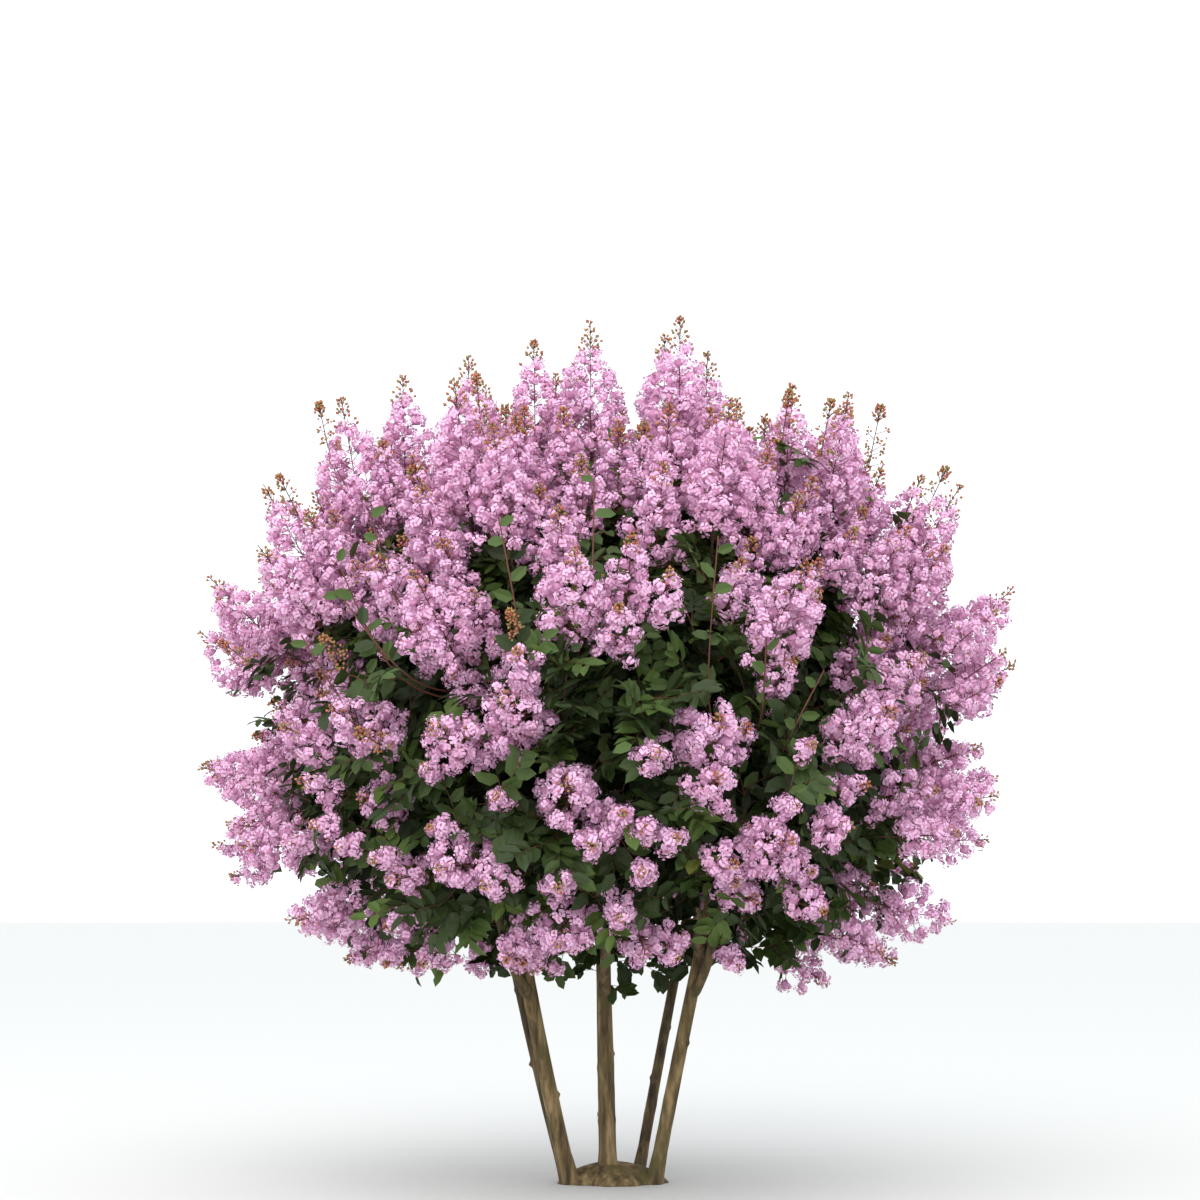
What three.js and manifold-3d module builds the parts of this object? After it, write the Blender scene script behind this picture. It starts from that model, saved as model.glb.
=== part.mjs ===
// A crape myrtle (Lagerstroemia indica) in full bloom: five stems rise from one root crown and fork into
// boughs, which carry a broad round crown of flowering branches. Each branch mass is one solid: a leading
// shoot, its side shoots, their leaves and the flower panicles at their tips.
// Millimetres, +Z up. The origin is on the flat cut at ground level. -Y is the front and +X the right.

import * as THREE from "three";
import { mergeVertices } from "three/addons/utils/BufferGeometryUtils.js";
import Module from "manifold-3d";

const wasm = await Module();
wasm.setup();

// ---------------------------------------------------------------- driving dimensions

// The crown's outline is a rounded body about its middle: an ellipse above and a fuller curve below.
const CROWN = { middle: 1750, halfWidth: 1500, rise: 1250, drop: 1085, roundAbove: 2.5, roundBelow: 2.8 };

// Limbs spread from this height, and a bough ends at this share of the way from there to its masses' tips.
const HUB_HEIGHT = 1150;
const BOUGH_REACH = 0.5;

// A bough's radius at its base is a share of its stem's. tipOfTwo and tipOfThree are its radius where it
// ends in two masses or in three. along is how far it follows the stem as it leaves the stem's side.
const BOUGH = {
  ofStemSide: 0.72,
  ofStemTip: 0.95,
  thickest: 20,
  tipOfTwo: 13.5,
  tipOfThree: 15.5,
  taper: 0.97, // at least
  along: 0.95,
  leaves: 0.35, // of its length, held straight as it leaves
  arrives: 0.3, // of its length, held straight as it ends
  steps: 4,
  sides: 5,
};

const SEAT_GAP = 0.4; // between two limbs that meet
const TWIG_CLEARANCE = 2; // between a twig and a bough or another mass's leader, beside their radii
const STEM_CLEARANCE = 4;
const CELL_MARGIN = 3; // between a mass and the planes that part it from its neighbours
const HEART_AT = 0.8; // of the way from the hub to a mass's tip: the planes lie midway between two hearts
const NEIGHBOURS = 4;
const SPREAD = 0.46; // of the angle to the neighbours
const GOLDEN_ANGLE = 137.5; // degrees

// The foot of each stem widens by flare down to the ground, and buried is how far the feet run on below it
// before the flat cut. mound is the half size of the low mound that joins them.
const ROOT_CROWN = {
  height: 130,
  flare: 1.75,
  swell: 0.6,
  buried: 65,
  mound: [185, 128, 78],
  middle: [22, 12],
};
const STEM = { steps: 6, sides: 8 };

// foot is where the stem's line meets the ground, knee and top shape its curve, and radius runs foot to top.
const STEMS = {
  stem_left: { foot: [-134, -34], knee: [-256, -90, 520], top: [-355, -200, 1120], radius: [31, 25] },
  stem_left_slim: { foot: [-150, 62], knee: [-300, 128, 520], top: [-412, 250, 1080], radius: [19, 15] },
  stem_centre: { foot: [8, -6], knee: [-3, 0, 500], top: [-20, 30, 1240], radius: [33, 25] },
  stem_right_slim: { foot: [118, 78], knee: [214, 142, 520], top: [335, 290, 1080], radius: [21, 17] },
  stem_right: { foot: [178, -38], knee: [276, -82, 520], top: [405, -190, 1120], radius: [27, 22] },
};

// from: the stem. at: the share of the stem's length where the bough leaves it, 1 being its tip.
const BOUGHS = {
  bough_crest: { from: "stem_centre", at: 1, carries: ["crest_left", "crest_right", "crest_rear"] },
  bough_front: { from: "stem_centre", at: 0.84, carries: ["shoulder_front", "side_front_left"] },
  bough_front_low: { from: "stem_centre", at: 0.6, carries: ["side_front_right", "low_front", "hem_front"] },
  bough_rear: { from: "stem_centre", at: 0.72, carries: ["shoulder_rear", "side_rear", "low_rear"] },
  bough_left_crown: { from: "stem_left", at: 1, carries: ["upper_left", "upper_left_outer"] },
  bough_left_shoulder: { from: "stem_left", at: 0.88, carries: ["shoulder_left", "side_left"] },
  bough_left_front: { from: "stem_left", at: 0.76, carries: ["shoulder_left_front", "side_left_front"] },
  bough_left_hem: { from: "stem_left", at: 0.64, carries: ["low_left_front", "hem_left", "low_left"] },
  bough_rear_left_crown: {
    from: "stem_left_slim",
    at: 1,
    carries: ["crest_rear_left", "upper_rear_left", "shoulder_rear_left"],
  },
  bough_rear_left_side: { from: "stem_left_slim", at: 0.8, carries: ["side_rear_left", "low_rear_left"] },
  bough_right_crown: { from: "stem_right", at: 1, carries: ["upper_right", "upper_right_outer"] },
  bough_right_shoulder: { from: "stem_right", at: 0.88, carries: ["shoulder_right", "side_right"] },
  bough_right_front: { from: "stem_right", at: 0.76, carries: ["shoulder_right_front", "side_right_front"] },
  bough_right_hem: { from: "stem_right", at: 0.64, carries: ["low_right_front", "low_right", "hem_right"] },
  bough_rear_right_crown: {
    from: "stem_right_slim",
    at: 1,
    carries: ["upper_rear_right", "shoulder_rear_right"],
  },
  bough_rear_right_side: {
    from: "stem_right_slim",
    at: 0.8,
    carries: ["side_rear_right", "low_rear_right"],
  },
};

// bearing and pitch, in degrees, give the way from the crown's middle to the mass's leading panicle: bearing
// 0 is the right and -90 the front. reach is 1 on the crown's outline. turn is where its first side shoot
// points, round the leader. shoots is how many side shoots it has, and leafy how many bear no panicle.
const MASSES = {
  crest_left: { bearing: -95, pitch: 62, reach: 1.05, turn: 175, shoots: 4, leafy: 0 },
  crest_right: { bearing: -66, pitch: 63, reach: 1.07, turn: 40, shoots: 4, leafy: 0 },
  crest_rear: { bearing: 60, pitch: 67, reach: 0.98, turn: 20, shoots: 4, leafy: 0 },
  crest_rear_left: { bearing: 158, pitch: 67, reach: 0.98, turn: 80, shoots: 4, leafy: 0 },
  upper_left: { bearing: -119, pitch: 43, reach: 1.0, turn: 60, shoots: 4, leafy: 0 },
  upper_left_outer: { bearing: -158, pitch: 45, reach: 1.01, turn: 130, shoots: 5, leafy: 0 },
  upper_right: { bearing: -70, pitch: 37, reach: 1.0, turn: 110, shoots: 4, leafy: 0 },
  upper_right_outer: { bearing: -40, pitch: 42, reach: 1.01, turn: 30, shoots: 4, leafy: 0 },
  upper_rear_right: { bearing: 22, pitch: 43, reach: 0.99, turn: 10, shoots: 4, leafy: 0 },
  upper_rear_left: { bearing: 138, pitch: 42, reach: 1.0, turn: 170, shoots: 4, leafy: 0 },
  shoulder_left: { bearing: -150, pitch: 27, reach: 1.01, turn: 100, shoots: 4, leafy: 0 },
  shoulder_left_front: { bearing: -115, pitch: 13, reach: 1.0, turn: 150, shoots: 4, leafy: 0 },
  shoulder_front: { bearing: -94, pitch: 15, reach: 1.0, turn: 70, shoots: 4, leafy: 1 },
  shoulder_right_front: { bearing: -64, pitch: 14, reach: 1.0, turn: 60, shoots: 4, leafy: 0 },
  shoulder_right: { bearing: -27, pitch: 27, reach: 1.02, turn: 80, shoots: 4, leafy: 0 },
  shoulder_rear_right: { bearing: 36, pitch: 17, reach: 1.0, turn: 200, shoots: 4, leafy: 0 },
  shoulder_rear: { bearing: 84, pitch: 26, reach: 1.0, turn: 330, shoots: 5, leafy: 0 },
  shoulder_rear_left: { bearing: 136, pitch: 16, reach: 1.01, turn: 240, shoots: 4, leafy: 0 },
  side_left: { bearing: -163, pitch: 16, reach: 1.01, turn: 270, shoots: 5, leafy: 0 },
  side_left_front: { bearing: -128, pitch: -3, reach: 0.99, turn: 200, shoots: 5, leafy: 2 },
  side_front_left: { bearing: -103, pitch: -2, reach: 0.98, turn: 30, shoots: 5, leafy: 3 },
  side_front_right: { bearing: -76, pitch: -5, reach: 0.99, turn: 330, shoots: 5, leafy: 3 },
  side_right_front: { bearing: -50, pitch: -3, reach: 0.99, turn: 10, shoots: 5, leafy: 2 },
  side_right: { bearing: -11, pitch: 15, reach: 1.02, turn: 265, shoots: 5, leafy: 0 },
  side_rear_right: { bearing: 28, pitch: -5, reach: 1.0, turn: 160, shoots: 4, leafy: 1 },
  side_rear: { bearing: 88, pitch: 2, reach: 0.99, turn: 20, shoots: 5, leafy: 2 },
  side_rear_left: { bearing: 146, pitch: -8, reach: 1.01, turn: 280, shoots: 4, leafy: 1 },
  low_left: { bearing: -163, pitch: -9, reach: 1.01, turn: 230, shoots: 5, leafy: 0 },
  low_left_front: { bearing: -114, pitch: -24, reach: 0.98, turn: 60, shoots: 5, leafy: 3 },
  low_front: { bearing: -95, pitch: -13, reach: 0.98, turn: 190, shoots: 4, leafy: 2 },
  low_right_front: { bearing: -65, pitch: -20, reach: 0.99, turn: 0, shoots: 4, leafy: 1 },
  low_right: { bearing: -24, pitch: -13, reach: 1.01, turn: 250, shoots: 5, leafy: 0 },
  low_rear_right: { bearing: 38, pitch: -29, reach: 1.0, turn: 140, shoots: 5, leafy: 2 },
  low_rear: { bearing: 97, pitch: -27, reach: 0.99, turn: 210, shoots: 5, leafy: 2 },
  low_rear_left: { bearing: 154, pitch: -35, reach: 1.02, turn: 260, shoots: 4, leafy: 1 },
  hem_left: { bearing: -149, pitch: -31, reach: 1.02, turn: 245, shoots: 5, leafy: 1 },
  hem_front: { bearing: -98, pitch: -36, reach: 1.0, turn: 330, shoots: 4, leafy: 1 },
  hem_right: { bearing: -18, pitch: -31, reach: 1.03, turn: 280, shoots: 5, leafy: 1 },
};

// Panicles are long and upright at the top of the crown, and short and level or hanging at its hem.
const PANICLE = {
  lengthTop: 400,
  lengthHem: 250,
  radiusTop: 142,
  radiusHem: 112,
  sides: 5,
  lump: 0.09, // of its radius
  spike: 0.22, // of its length, at the very top of the crown
};
// A panicle's outline from its base to the foot of its spike: [share of radius, share of length].
const PANICLE_OUTLINE = [[0, 0], [0.6, 0], [1, 0.36], [0.56, 0.78]];
const GROWTH = { level: 25, perPitch: 1.2, steepest: 88 }; // degrees: how shoots turn up to the light
const LEAF = { length: 235, width: 112, thick: 6, opening: 55 }; // opening: degrees between it and its twig

// The leading shoot of a mass starts off the middle of its bough's end by a share of the bough's radius.
const LEADER = { radius: 7, steps: 3, offset: 0.6, leaves: [0.32, 0.5, 0.68] };
// Side shoots leave the leader between firstAt and lastAt, and sink into their panicle by a share of its
// length.
const SHOOT = { radius: 3.2, steps: 2, sunk: 0.2, firstAt: 0.3, lastAt: 0.74, leaves: [0.4, 0.62] };
const LEAFY_SHOOT = { reach: 0.6, leaves: [0.3, 0.45, 0.6, 0.75, 0.92] };
const TWIG = { sides: 3, taper: 0.82, leaves: 0.38, arrives: 0.34 };
const SIZES = { spread: [0.9, 1.25], depth: [0.88, 1], panicle: [0.78, 1], leaf: [0.85, 1.1] };

// A shoot tries its own place first, then places further round the leader and nearer to it.
const TRIES = { count: 6, turn: 61, pull: 0.09, shrink: 0.05 };
const LEAF_TRIES = 5;

// Rings that stand in for a panicle and a leaf when they look for room: [share of its length, share of its
// radius or length]. Panicles of one mass may press into each other, to this share of their rings.
const PANICLE_RINGS = [[0, 0.65], [0.36, 1.09], [0.78, 0.61], [1.15, 0.02]];
const LEAF_RINGS = [[0.25, 0.1], [0.5, 0.22], [0.75, 0.12], [1, 0.01]];
const PRESS = 0.66;

const SEED = { step: 7919, first: 11 };

// ---------------------------------------------------------------- small tools

const { degToRad, radToDeg, clamp, lerp } = THREE.MathUtils;

// A repeatable row of numbers from 0 to 1.
function seeded(seed) {
  let state = seed >>> 0;
  return () => {
    state = (Math.imul(state, 1664525) + 1013904223) >>> 0;
    return state / 4294967296;
  };
}

// The unit vector at a bearing and pitch in degrees.
function pointing(bearing, pitch) {
  const level = Math.cos(degToRad(pitch));
  return new THREE.Vector3(
    level * Math.cos(degToRad(bearing)),
    level * Math.sin(degToRad(bearing)),
    Math.sin(degToRad(pitch)),
  );
}

// Only position is kept, and shared corners become one vertex.
function closed(geometry) {
  geometry.deleteAttribute("normal");
  geometry.deleteAttribute("uv");
  return mergeVertices(geometry, 1e-4);
}

function solidOf(geometry) {
  return new wasm.Manifold(
    new wasm.Mesh({
      numProp: 3,
      vertProperties: new Float32Array(geometry.attributes.position.array),
      triVerts: new Uint32Array(geometry.index.array),
    }),
  );
}

function geometryOf(solid) {
  const mesh = solid.getMesh();
  return new THREE.BufferGeometry()
    .setAttribute("position", new THREE.BufferAttribute(new Float32Array(mesh.vertProperties), 3))
    .setIndex(new THREE.BufferAttribute(new Uint32Array(mesh.triVerts), 1));
}

// A limb: a cylinder's rings carried along a curve, with radiusAt(share) as its radius.
function limb(curve, steps, sides, radiusAt) {
  const geometry = new THREE.CylinderGeometry(1, 1, 1, sides, steps);
  const { normals, binormals } = curve.computeFrenetFrames(steps);
  const points = geometry.attributes.position;
  for (let i = 0; i < points.count; i++) {
    const ring = Math.round((points.getY(i) + 0.5) * steps);
    const radius = radiusAt(ring / steps);
    const at = curve
      .getPoint(ring / steps)
      .addScaledVector(normals[ring], points.getX(i) * radius)
      .addScaledVector(binormals[ring], -points.getZ(i) * radius);
    points.setXYZ(i, at.x, at.y, at.z);
  }
  return closed(geometry);
}

// Turns a geometry that stands on +Z to stand along a direction, with its +X towards side.
function stand(geometry, at, along, side) {
  const x = side.clone().addScaledVector(along, -side.dot(along)).normalize();
  const y = along.clone().cross(x);
  geometry.applyMatrix4(new THREE.Matrix4().makeBasis(x, y, along).setPosition(at));
  return geometry;
}

// ---------------------------------------------------------------- the crown and the places of the masses

const MIDDLE = new THREE.Vector3(0, 0, CROWN.middle);
const HUB = new THREE.Vector3(0, 0, HUB_HEIGHT);

// The point of a share of the way from the crown's middle to its outline.
function onOutline(way, reach) {
  const power = way.z > 0 ? CROWN.roundAbove : CROWN.roundBelow;
  const height = way.z > 0 ? CROWN.rise : CROWN.drop;
  const level = Math.hypot(way.x, way.y) / CROWN.halfWidth;
  const outline = (level ** power + Math.abs(way.z / height) ** power) ** (-1 / power);
  return MIDDLE.clone().addScaledVector(way, outline * reach);
}

// How high in the crown a way points: 0 at the hem and 1 at the top.
function rank(way) {
  return clamp((way.z + 0.65) / 1.45, 0, 1);
}

// A shoot's tip points outwards, turned up towards the light.
function growthAt(way) {
  const pitch = GROWTH.level + GROWTH.perPitch * radToDeg(Math.asin(way.z));
  return pointing(radToDeg(Math.atan2(way.y, way.x)), Math.min(pitch, GROWTH.steepest));
}

for (const mass of Object.values(MASSES)) {
  mass.way = pointing(mass.bearing, mass.pitch);
  mass.tip = onOutline(mass.way, mass.reach);
  mass.heart = HUB.clone().lerp(mass.tip, HEART_AT);
}

// Side shoots spread over a share of the angle to the nearest masses.
for (const mass of Object.values(MASSES)) {
  const angles = Object.values(MASSES).map((other) => other.way.angleTo(mass.way));
  const near = angles.sort((a, b) => a - b).slice(1, 1 + NEIGHBOURS);
  mass.spread = (SPREAD * near.reduce((sum, angle) => sum + angle)) / NEIGHBOURS;
}

// Whether a ring is inside all the planes that part a mass's space from its neighbours'.
function inOwnSpace(mass, { at, along, radius }) {
  return Object.values(MASSES).every((other) => {
    if (other === mass) return true;
    const across = other.heart.clone().sub(mass.heart).normalize();
    const plane = across.dot(other.heart.clone().add(mass.heart)) / 2;
    const reach = radius * Math.sqrt(Math.max(0, 1 - across.dot(along) ** 2));
    return across.dot(at) + reach + CELL_MARGIN < plane;
  });
}

// ---------------------------------------------------------------- root crown, stems and boughs

const limbLines = []; // { points, radius, of }: twigs and leaves keep clear of these

function stemCurve({ foot, knee, top }) {
  return new THREE.QuadraticBezierCurve3(
    new THREE.Vector3(foot[0], foot[1], 0),
    new THREE.Vector3(...knee),
    new THREE.Vector3(...top),
  );
}

// The part of a curve from one share of it to its end.
class Rest extends THREE.Curve {
  constructor(whole, start) {
    super();
    this.whole = whole;
    this.start = start;
  }
  getPoint(share, target = new THREE.Vector3()) {
    return this.whole.getPoint(lerp(this.start, 1, share), target);
  }
}

// One stem stands just clear on its own foot in the root crown.
function stem(spec, grown = 0) {
  const whole = stemCurve(spec);
  const start = (ROOT_CROWN.height + SEAT_GAP) / whole.getLength();
  const line = new Rest(whole, start);
  return solidOf(limb(line, STEM.steps, STEM.sides, (share) => lerp(...spec.radius, share) + grown));
}

// The flared feet of all the stems, joined by a low mound, and cut flat at ground level.
function rootCrown() {
  const feet = Object.values(STEMS).map((spec) => {
    const whole = stemCurve(spec);
    const end = ROOT_CROWN.height / whole.getLength();
    const top = whole.getPoint(end);
    const down = -(ROOT_CROWN.height + ROOT_CROWN.buried);
    const below = top.clone().addScaledVector(whole.getTangent(end), down);
    const flare = (share) => spec.radius[0] * lerp(ROOT_CROWN.flare, 1, share ** ROOT_CROWN.swell);
    return solidOf(limb(new THREE.LineCurve3(below, top), 3, STEM.sides, flare));
  });
  const mound = new THREE.IcosahedronGeometry(1, 1).scale(...ROOT_CROWN.mound);
  const ground = closed(new THREE.BoxGeometry(1000, 1000, 400));
  mound.translate(...ROOT_CROWN.middle, 0);
  ground.translate(0, 0, -200);
  return wasm.Manifold.union([...feet, solidOf(closed(mound))]).subtract(solidOf(ground));
}

// Where a bough ends, the way it points there, and its line from its stem.
function boughShape({ from, at, carries }) {
  const spec = STEMS[from];
  const stemLine = stemCurve(spec);
  const tangent = stemLine.getTangent(at);
  const masses = carries.map((name) => MASSES[name]);
  const end = new THREE.Vector3();
  const heading = new THREE.Vector3();
  for (const mass of masses) end.add(HUB.clone().lerp(mass.tip, BOUGH_REACH).divideScalar(masses.length));
  for (const mass of masses) heading.add(mass.tip.clone().sub(end).normalize());
  heading.normalize();
  const start = stemLine.getPoint(at).addScaledVector(tangent, at === 1 ? SEAT_GAP : 0);
  const away = end.clone().sub(start);
  const length = away.length();
  const sideways = away.addScaledVector(tangent, -away.dot(tangent)).normalize();
  const leaving = at === 1 ? tangent : sideways.addScaledVector(tangent, BOUGH.along).normalize();
  const curve = new THREE.CubicBezierCurve3(
    start,
    start.clone().addScaledVector(leaving, length * BOUGH.leaves),
    end.clone().addScaledVector(heading, -length * BOUGH.arrives),
    end,
  );
  const share = at === 1 ? BOUGH.ofStemTip : BOUGH.ofStemSide;
  const base = Math.min(BOUGH.thickest, lerp(...spec.radius, at) * share);
  const tip = Math.min(carries.length === 3 ? BOUGH.tipOfThree : BOUGH.tipOfTwo, base * BOUGH.taper);
  return { curve, end, heading, base, tip };
}

// One tapering bough. Where it leaves a stem's side it is cut to sit on the stem.
function bough(spec, { curve, base, tip }) {
  const whole = solidOf(limb(curve, BOUGH.steps, BOUGH.sides, (share) => lerp(base, tip, share)));
  return spec.at === 1 ? whole : whole.subtract(stem(STEMS[spec.from], SEAT_GAP));
}

// ---------------------------------------------------------------- how a mass grows

// The line of a shoot: it starts one way, and arrives at its end along the way that it grows.
function shootCurve(start, leaving, end, arriving) {
  const length = start.distanceTo(end);
  return new THREE.CubicBezierCurve3(
    start,
    start.clone().addScaledVector(leaving, length * TWIG.leaves),
    end.clone().addScaledVector(arriving, -length * TWIG.arrives),
    end,
  );
}

// A point of a twig's straight steps, and the way that the twig runs there.
function onTwig({ curve, steps }, share) {
  const step = Math.min(Math.floor(share * steps), steps - 1);
  const from = curve.getPoint(step / steps);
  const along = curve.getPoint((step + 1) / steps).sub(from);
  return { root: from.addScaledVector(along, share * steps - step), tangent: along.normalize() };
}

// Where the panicle of a shoot would stand that ends at a way and reach.
function panicleAt(way, reach, small) {
  const along = growthAt(way);
  const high = rank(way);
  const length = lerp(PANICLE.lengthHem, PANICLE.lengthTop, high) * small;
  const radius = lerp(PANICLE.radiusHem, PANICLE.radiusTop, high) * small;
  const base = onOutline(way, reach).addScaledVector(along, -length);
  return { base, along, length, radius, high };
}

function ringsOf({ base, along, length }, size, shares) {
  return shares.map(([share, radius]) => ({
    at: base.clone().addScaledVector(along, share * length),
    along,
    radius: radius * size,
  }));
}

function twigRings({ curve, steps, radius }) {
  const shares = Array.from({ length: 4 * steps }, (_, i) => (i + 1) / (4 * steps));
  return shares.map((share) => ({ at: curve.getPoint(share), along: curve.getTangent(share), radius }));
}

// Whether a ring is clear of every limb, and of every other mass's leading twig.
function clearOfLimbs(mass, ring) {
  const nearest = new THREE.Vector3();
  const span = new THREE.Line3();
  return limbLines.every((line) => {
    if (line.of === mass) return true;
    return line.points.slice(1).every((point, i) => {
      span.set(line.points[i], point).closestPointToPoint(ring.at, true, nearest);
      return nearest.distanceTo(ring.at) > line.radius + ring.radius;
    });
  });
}

// The leading shoots of a bough's masses start evenly round its flat end, each as near its own side as can
// be.
function addLeaders(carries, { end, heading, tip }) {
  const x = new THREE.Vector3(heading.y, -heading.x, 0).normalize();
  const y = heading.clone().cross(x);
  const leaders = carries.map((name) => {
    const mass = MASSES[name];
    const panicle = panicleAt(mass.way, mass.reach, 1);
    const aside = panicle.base.clone().sub(end);
    return { mass, panicle, angle: Math.atan2(aside.dot(y), aside.dot(x)) };
  });
  leaders.sort((a, b) => a.angle - b.angle);
  const step = (2 * Math.PI) / leaders.length;
  const slip = new THREE.Vector2();
  leaders.forEach(({ angle }, i) => {
    slip.add({ x: Math.cos(angle - i * step), y: Math.sin(angle - i * step) });
  });
  const first = slip.angle();
  leaders.forEach(({ mass, panicle }, i) => {
    const start = end.clone().addScaledVector(heading, SEAT_GAP);
    start.addScaledVector(x, Math.cos(first + i * step) * tip * LEADER.offset);
    start.addScaledVector(y, Math.sin(first + i * step) * tip * LEADER.offset);
    const stop = panicle.base.clone().addScaledVector(panicle.along, panicle.length * SHOOT.sunk);
    const curve = shootCurve(start, heading, stop, panicle.along);
    mass.leader = { curve, steps: LEADER.steps, radius: LEADER.radius, panicle, leaves: [] };
    limbLines.push({ points: curve.getPoints(12), radius: LEADER.radius + TWIG_CLEARANCE, of: mass });
  });
}

// The shoots of one mass. Its leader comes first, then its side shoots and then the leaves, and each
// panicle, twig or leaf is left out where it finds no room.
function growMass(mass, number) {
  const random = seeded(number * SEED.step + SEED.first);
  const filled = [];
  const hasRoom = (rings, press = 1) =>
    rings.every(
      (ring) =>
        inOwnSpace(mass, ring) &&
        clearOfLimbs(mass, ring) &&
        filled.every((other) => other.at.distanceTo(ring.at) > (other.radius + ring.radius) * press),
    );
  const panicleRings = (panicle) => ringsOf(panicle, panicle.radius, PANICLE_RINGS);

  const { leader } = mass;
  filled.push(...panicleRings(leader.panicle), ...twigRings(leader));
  const shoots = [leader];
  const east = new THREE.Vector3(-mass.way.y, mass.way.x, 0).normalize();
  const north = mass.way.clone().cross(east);

  for (let k = 0; k < mass.shoots; k++) {
    const leafy = k >= mass.shoots - mass.leafy;
    const share = lerp(SHOOT.firstAt, SHOOT.lastAt, (k + random() * 0.6) / mass.shoots);
    const { root, tangent } = onTwig(leader, share);
    const wide = mass.spread * lerp(...SIZES.spread, random());
    const depth = mass.reach * lerp(...SIZES.depth, random());
    const small = lerp(...SIZES.panicle, random());
    for (let attempt = 0; attempt < TRIES.count; attempt++) {
      const round = degToRad(mass.turn + k * GOLDEN_ANGLE + attempt * TRIES.turn);
      const off = Math.tan(wide * (1 - TRIES.pull * attempt));
      const way = mass.way.clone().addScaledVector(east, off * Math.cos(round));
      way.addScaledVector(north, off * Math.sin(round)).normalize();
      const panicle = panicleAt(way, depth, small * (1 - TRIES.shrink * attempt));
      const leaving = panicle.base.clone().sub(root).normalize().lerp(tangent, 0.5).normalize();
      const past = panicle.length * (leafy ? LEAFY_SHOOT.reach : SHOOT.sunk);
      const stop = panicle.base.clone().addScaledVector(panicle.along, past);
      const curve = shootCurve(root, leaving, stop, panicle.along);
      const shoot = { ...SHOOT, curve, panicle, leaves: [] };
      if (leafy) shoot.panicle = null;
      const twig = twigRings(shoot);
      const bloom = leafy ? [] : panicleRings(panicle);
      if (!hasRoom(twig.slice(2)) || !hasRoom(bloom, PRESS)) continue;
      filled.push(...twig, ...bloom);
      shoots.push(shoot);
      break;
    }
  }

  const opening = degToRad(LEAF.opening);
  for (const shoot of shoots) {
    const { leaves } = shoot === leader ? LEADER : shoot.panicle ? SHOOT : LEAFY_SHOOT;
    for (const share of leaves) {
      const { root, tangent } = onTwig(shoot, share);
      const spin = random() * 360;
      const length = LEAF.length * lerp(...SIZES.leaf, random());
      const x = new THREE.Vector3(tangent.y, -tangent.x, 0).normalize();
      const y = tangent.clone().cross(x);
      for (let attempt = 0; attempt < LEAF_TRIES; attempt++) {
        const angle = degToRad(spin + (attempt * 360) / LEAF_TRIES);
        const along = tangent.clone().multiplyScalar(Math.cos(opening));
        along.addScaledVector(x, Math.cos(angle) * Math.sin(opening));
        along.addScaledVector(y, Math.sin(angle) * Math.sin(opening));
        const leaf = { base: root, along, length, side: tangent.clone().cross(along) };
        const rings = ringsOf(leaf, length, LEAF_RINGS);
        if (!hasRoom(rings)) continue;
        filled.push(...rings);
        shoot.leaves.push(leaf);
        break;
      }
    }
  }
  return shoots;
}

// ---------------------------------------------------------------- the solids of a mass

// A panicle: a lumpy cone of bloom that ends in a spike of buds, which is longest at the top of the crown.
function panicleSolid({ base, along, length, radius, high }, random) {
  const outline = [...PANICLE_OUTLINE, [0, 1 + PANICLE.spike * high * high]];
  const profile = outline.map(([r, h]) => new THREE.Vector2(r * radius, h * length));
  const geometry = closed(new THREE.LatheGeometry(profile, PANICLE.sides)).rotateX(Math.PI / 2);
  const points = geometry.attributes.position;
  for (let i = 0; i < points.count; i++) {
    const swell = 1 + PANICLE.lump * (2 * random() - 1);
    points.setXY(i, points.getX(i) * swell, points.getY(i) * swell);
  }
  return solidOf(stand(geometry, base, along, new THREE.Vector3(1, random(), 0.1)));
}

// A leaf, or a small spray seen as one: a thin pointed blade of four faces, folded along its middle, with
// its root in the twig.
function leafSolid({ base, along, length, side }) {
  const geometry = closed(new THREE.TetrahedronGeometry(Math.sqrt(3)));
  const half = 1 / (2 * Math.SQRT2);
  geometry.rotateZ(Math.PI / 4);
  geometry.scale((LEAF.width * length * half) / LEAF.length, length * half, LEAF.thick / 2);
  geometry.rotateX(Math.PI / 2);
  geometry.translate(0, LEAF.thick / 2, length / 2);
  return solidOf(stand(geometry, base, along, side));
}

function twigSolid({ curve, steps, radius }) {
  return solidOf(limb(curve, steps, TWIG.sides, (share) => lerp(radius, radius * TWIG.taper, share)));
}

function massSolid(mass, number) {
  const random = seeded(number + 1);
  const parts = growMass(mass, number).flatMap((shoot) => [
    twigSolid(shoot),
    ...(shoot.panicle ? [panicleSolid(shoot.panicle, random)] : []),
    ...shoot.leaves.map(leafSolid),
  ]);
  return wasm.Manifold.union(parts);
}

// ---------------------------------------------------------------- the tree

const BARK = new THREE.MeshStandardMaterial({ color: 0x7b6654, roughness: 0.85, metalness: 0 });
const BRANCH = new THREE.MeshStandardMaterial({ color: 0x664f40, roughness: 0.8, metalness: 0 });
const BLOOM = new THREE.MeshStandardMaterial({ color: 0xcf8fc4, roughness: 0.7, metalness: 0 });

const tree = new THREE.Group();

function addNode(name, solid, material) {
  const mesh = new THREE.Mesh(geometryOf(solid), material);
  mesh.name = name;
  tree.add(mesh);
}

addNode("root_crown", rootCrown(), BARK);

for (const [name, spec] of Object.entries(STEMS)) {
  addNode(name, stem(spec), BARK);
  const radius = spec.radius[0] + STEM_CLEARANCE;
  limbLines.push({ points: stemCurve(spec).getPoints(12), radius, of: name });
}

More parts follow.
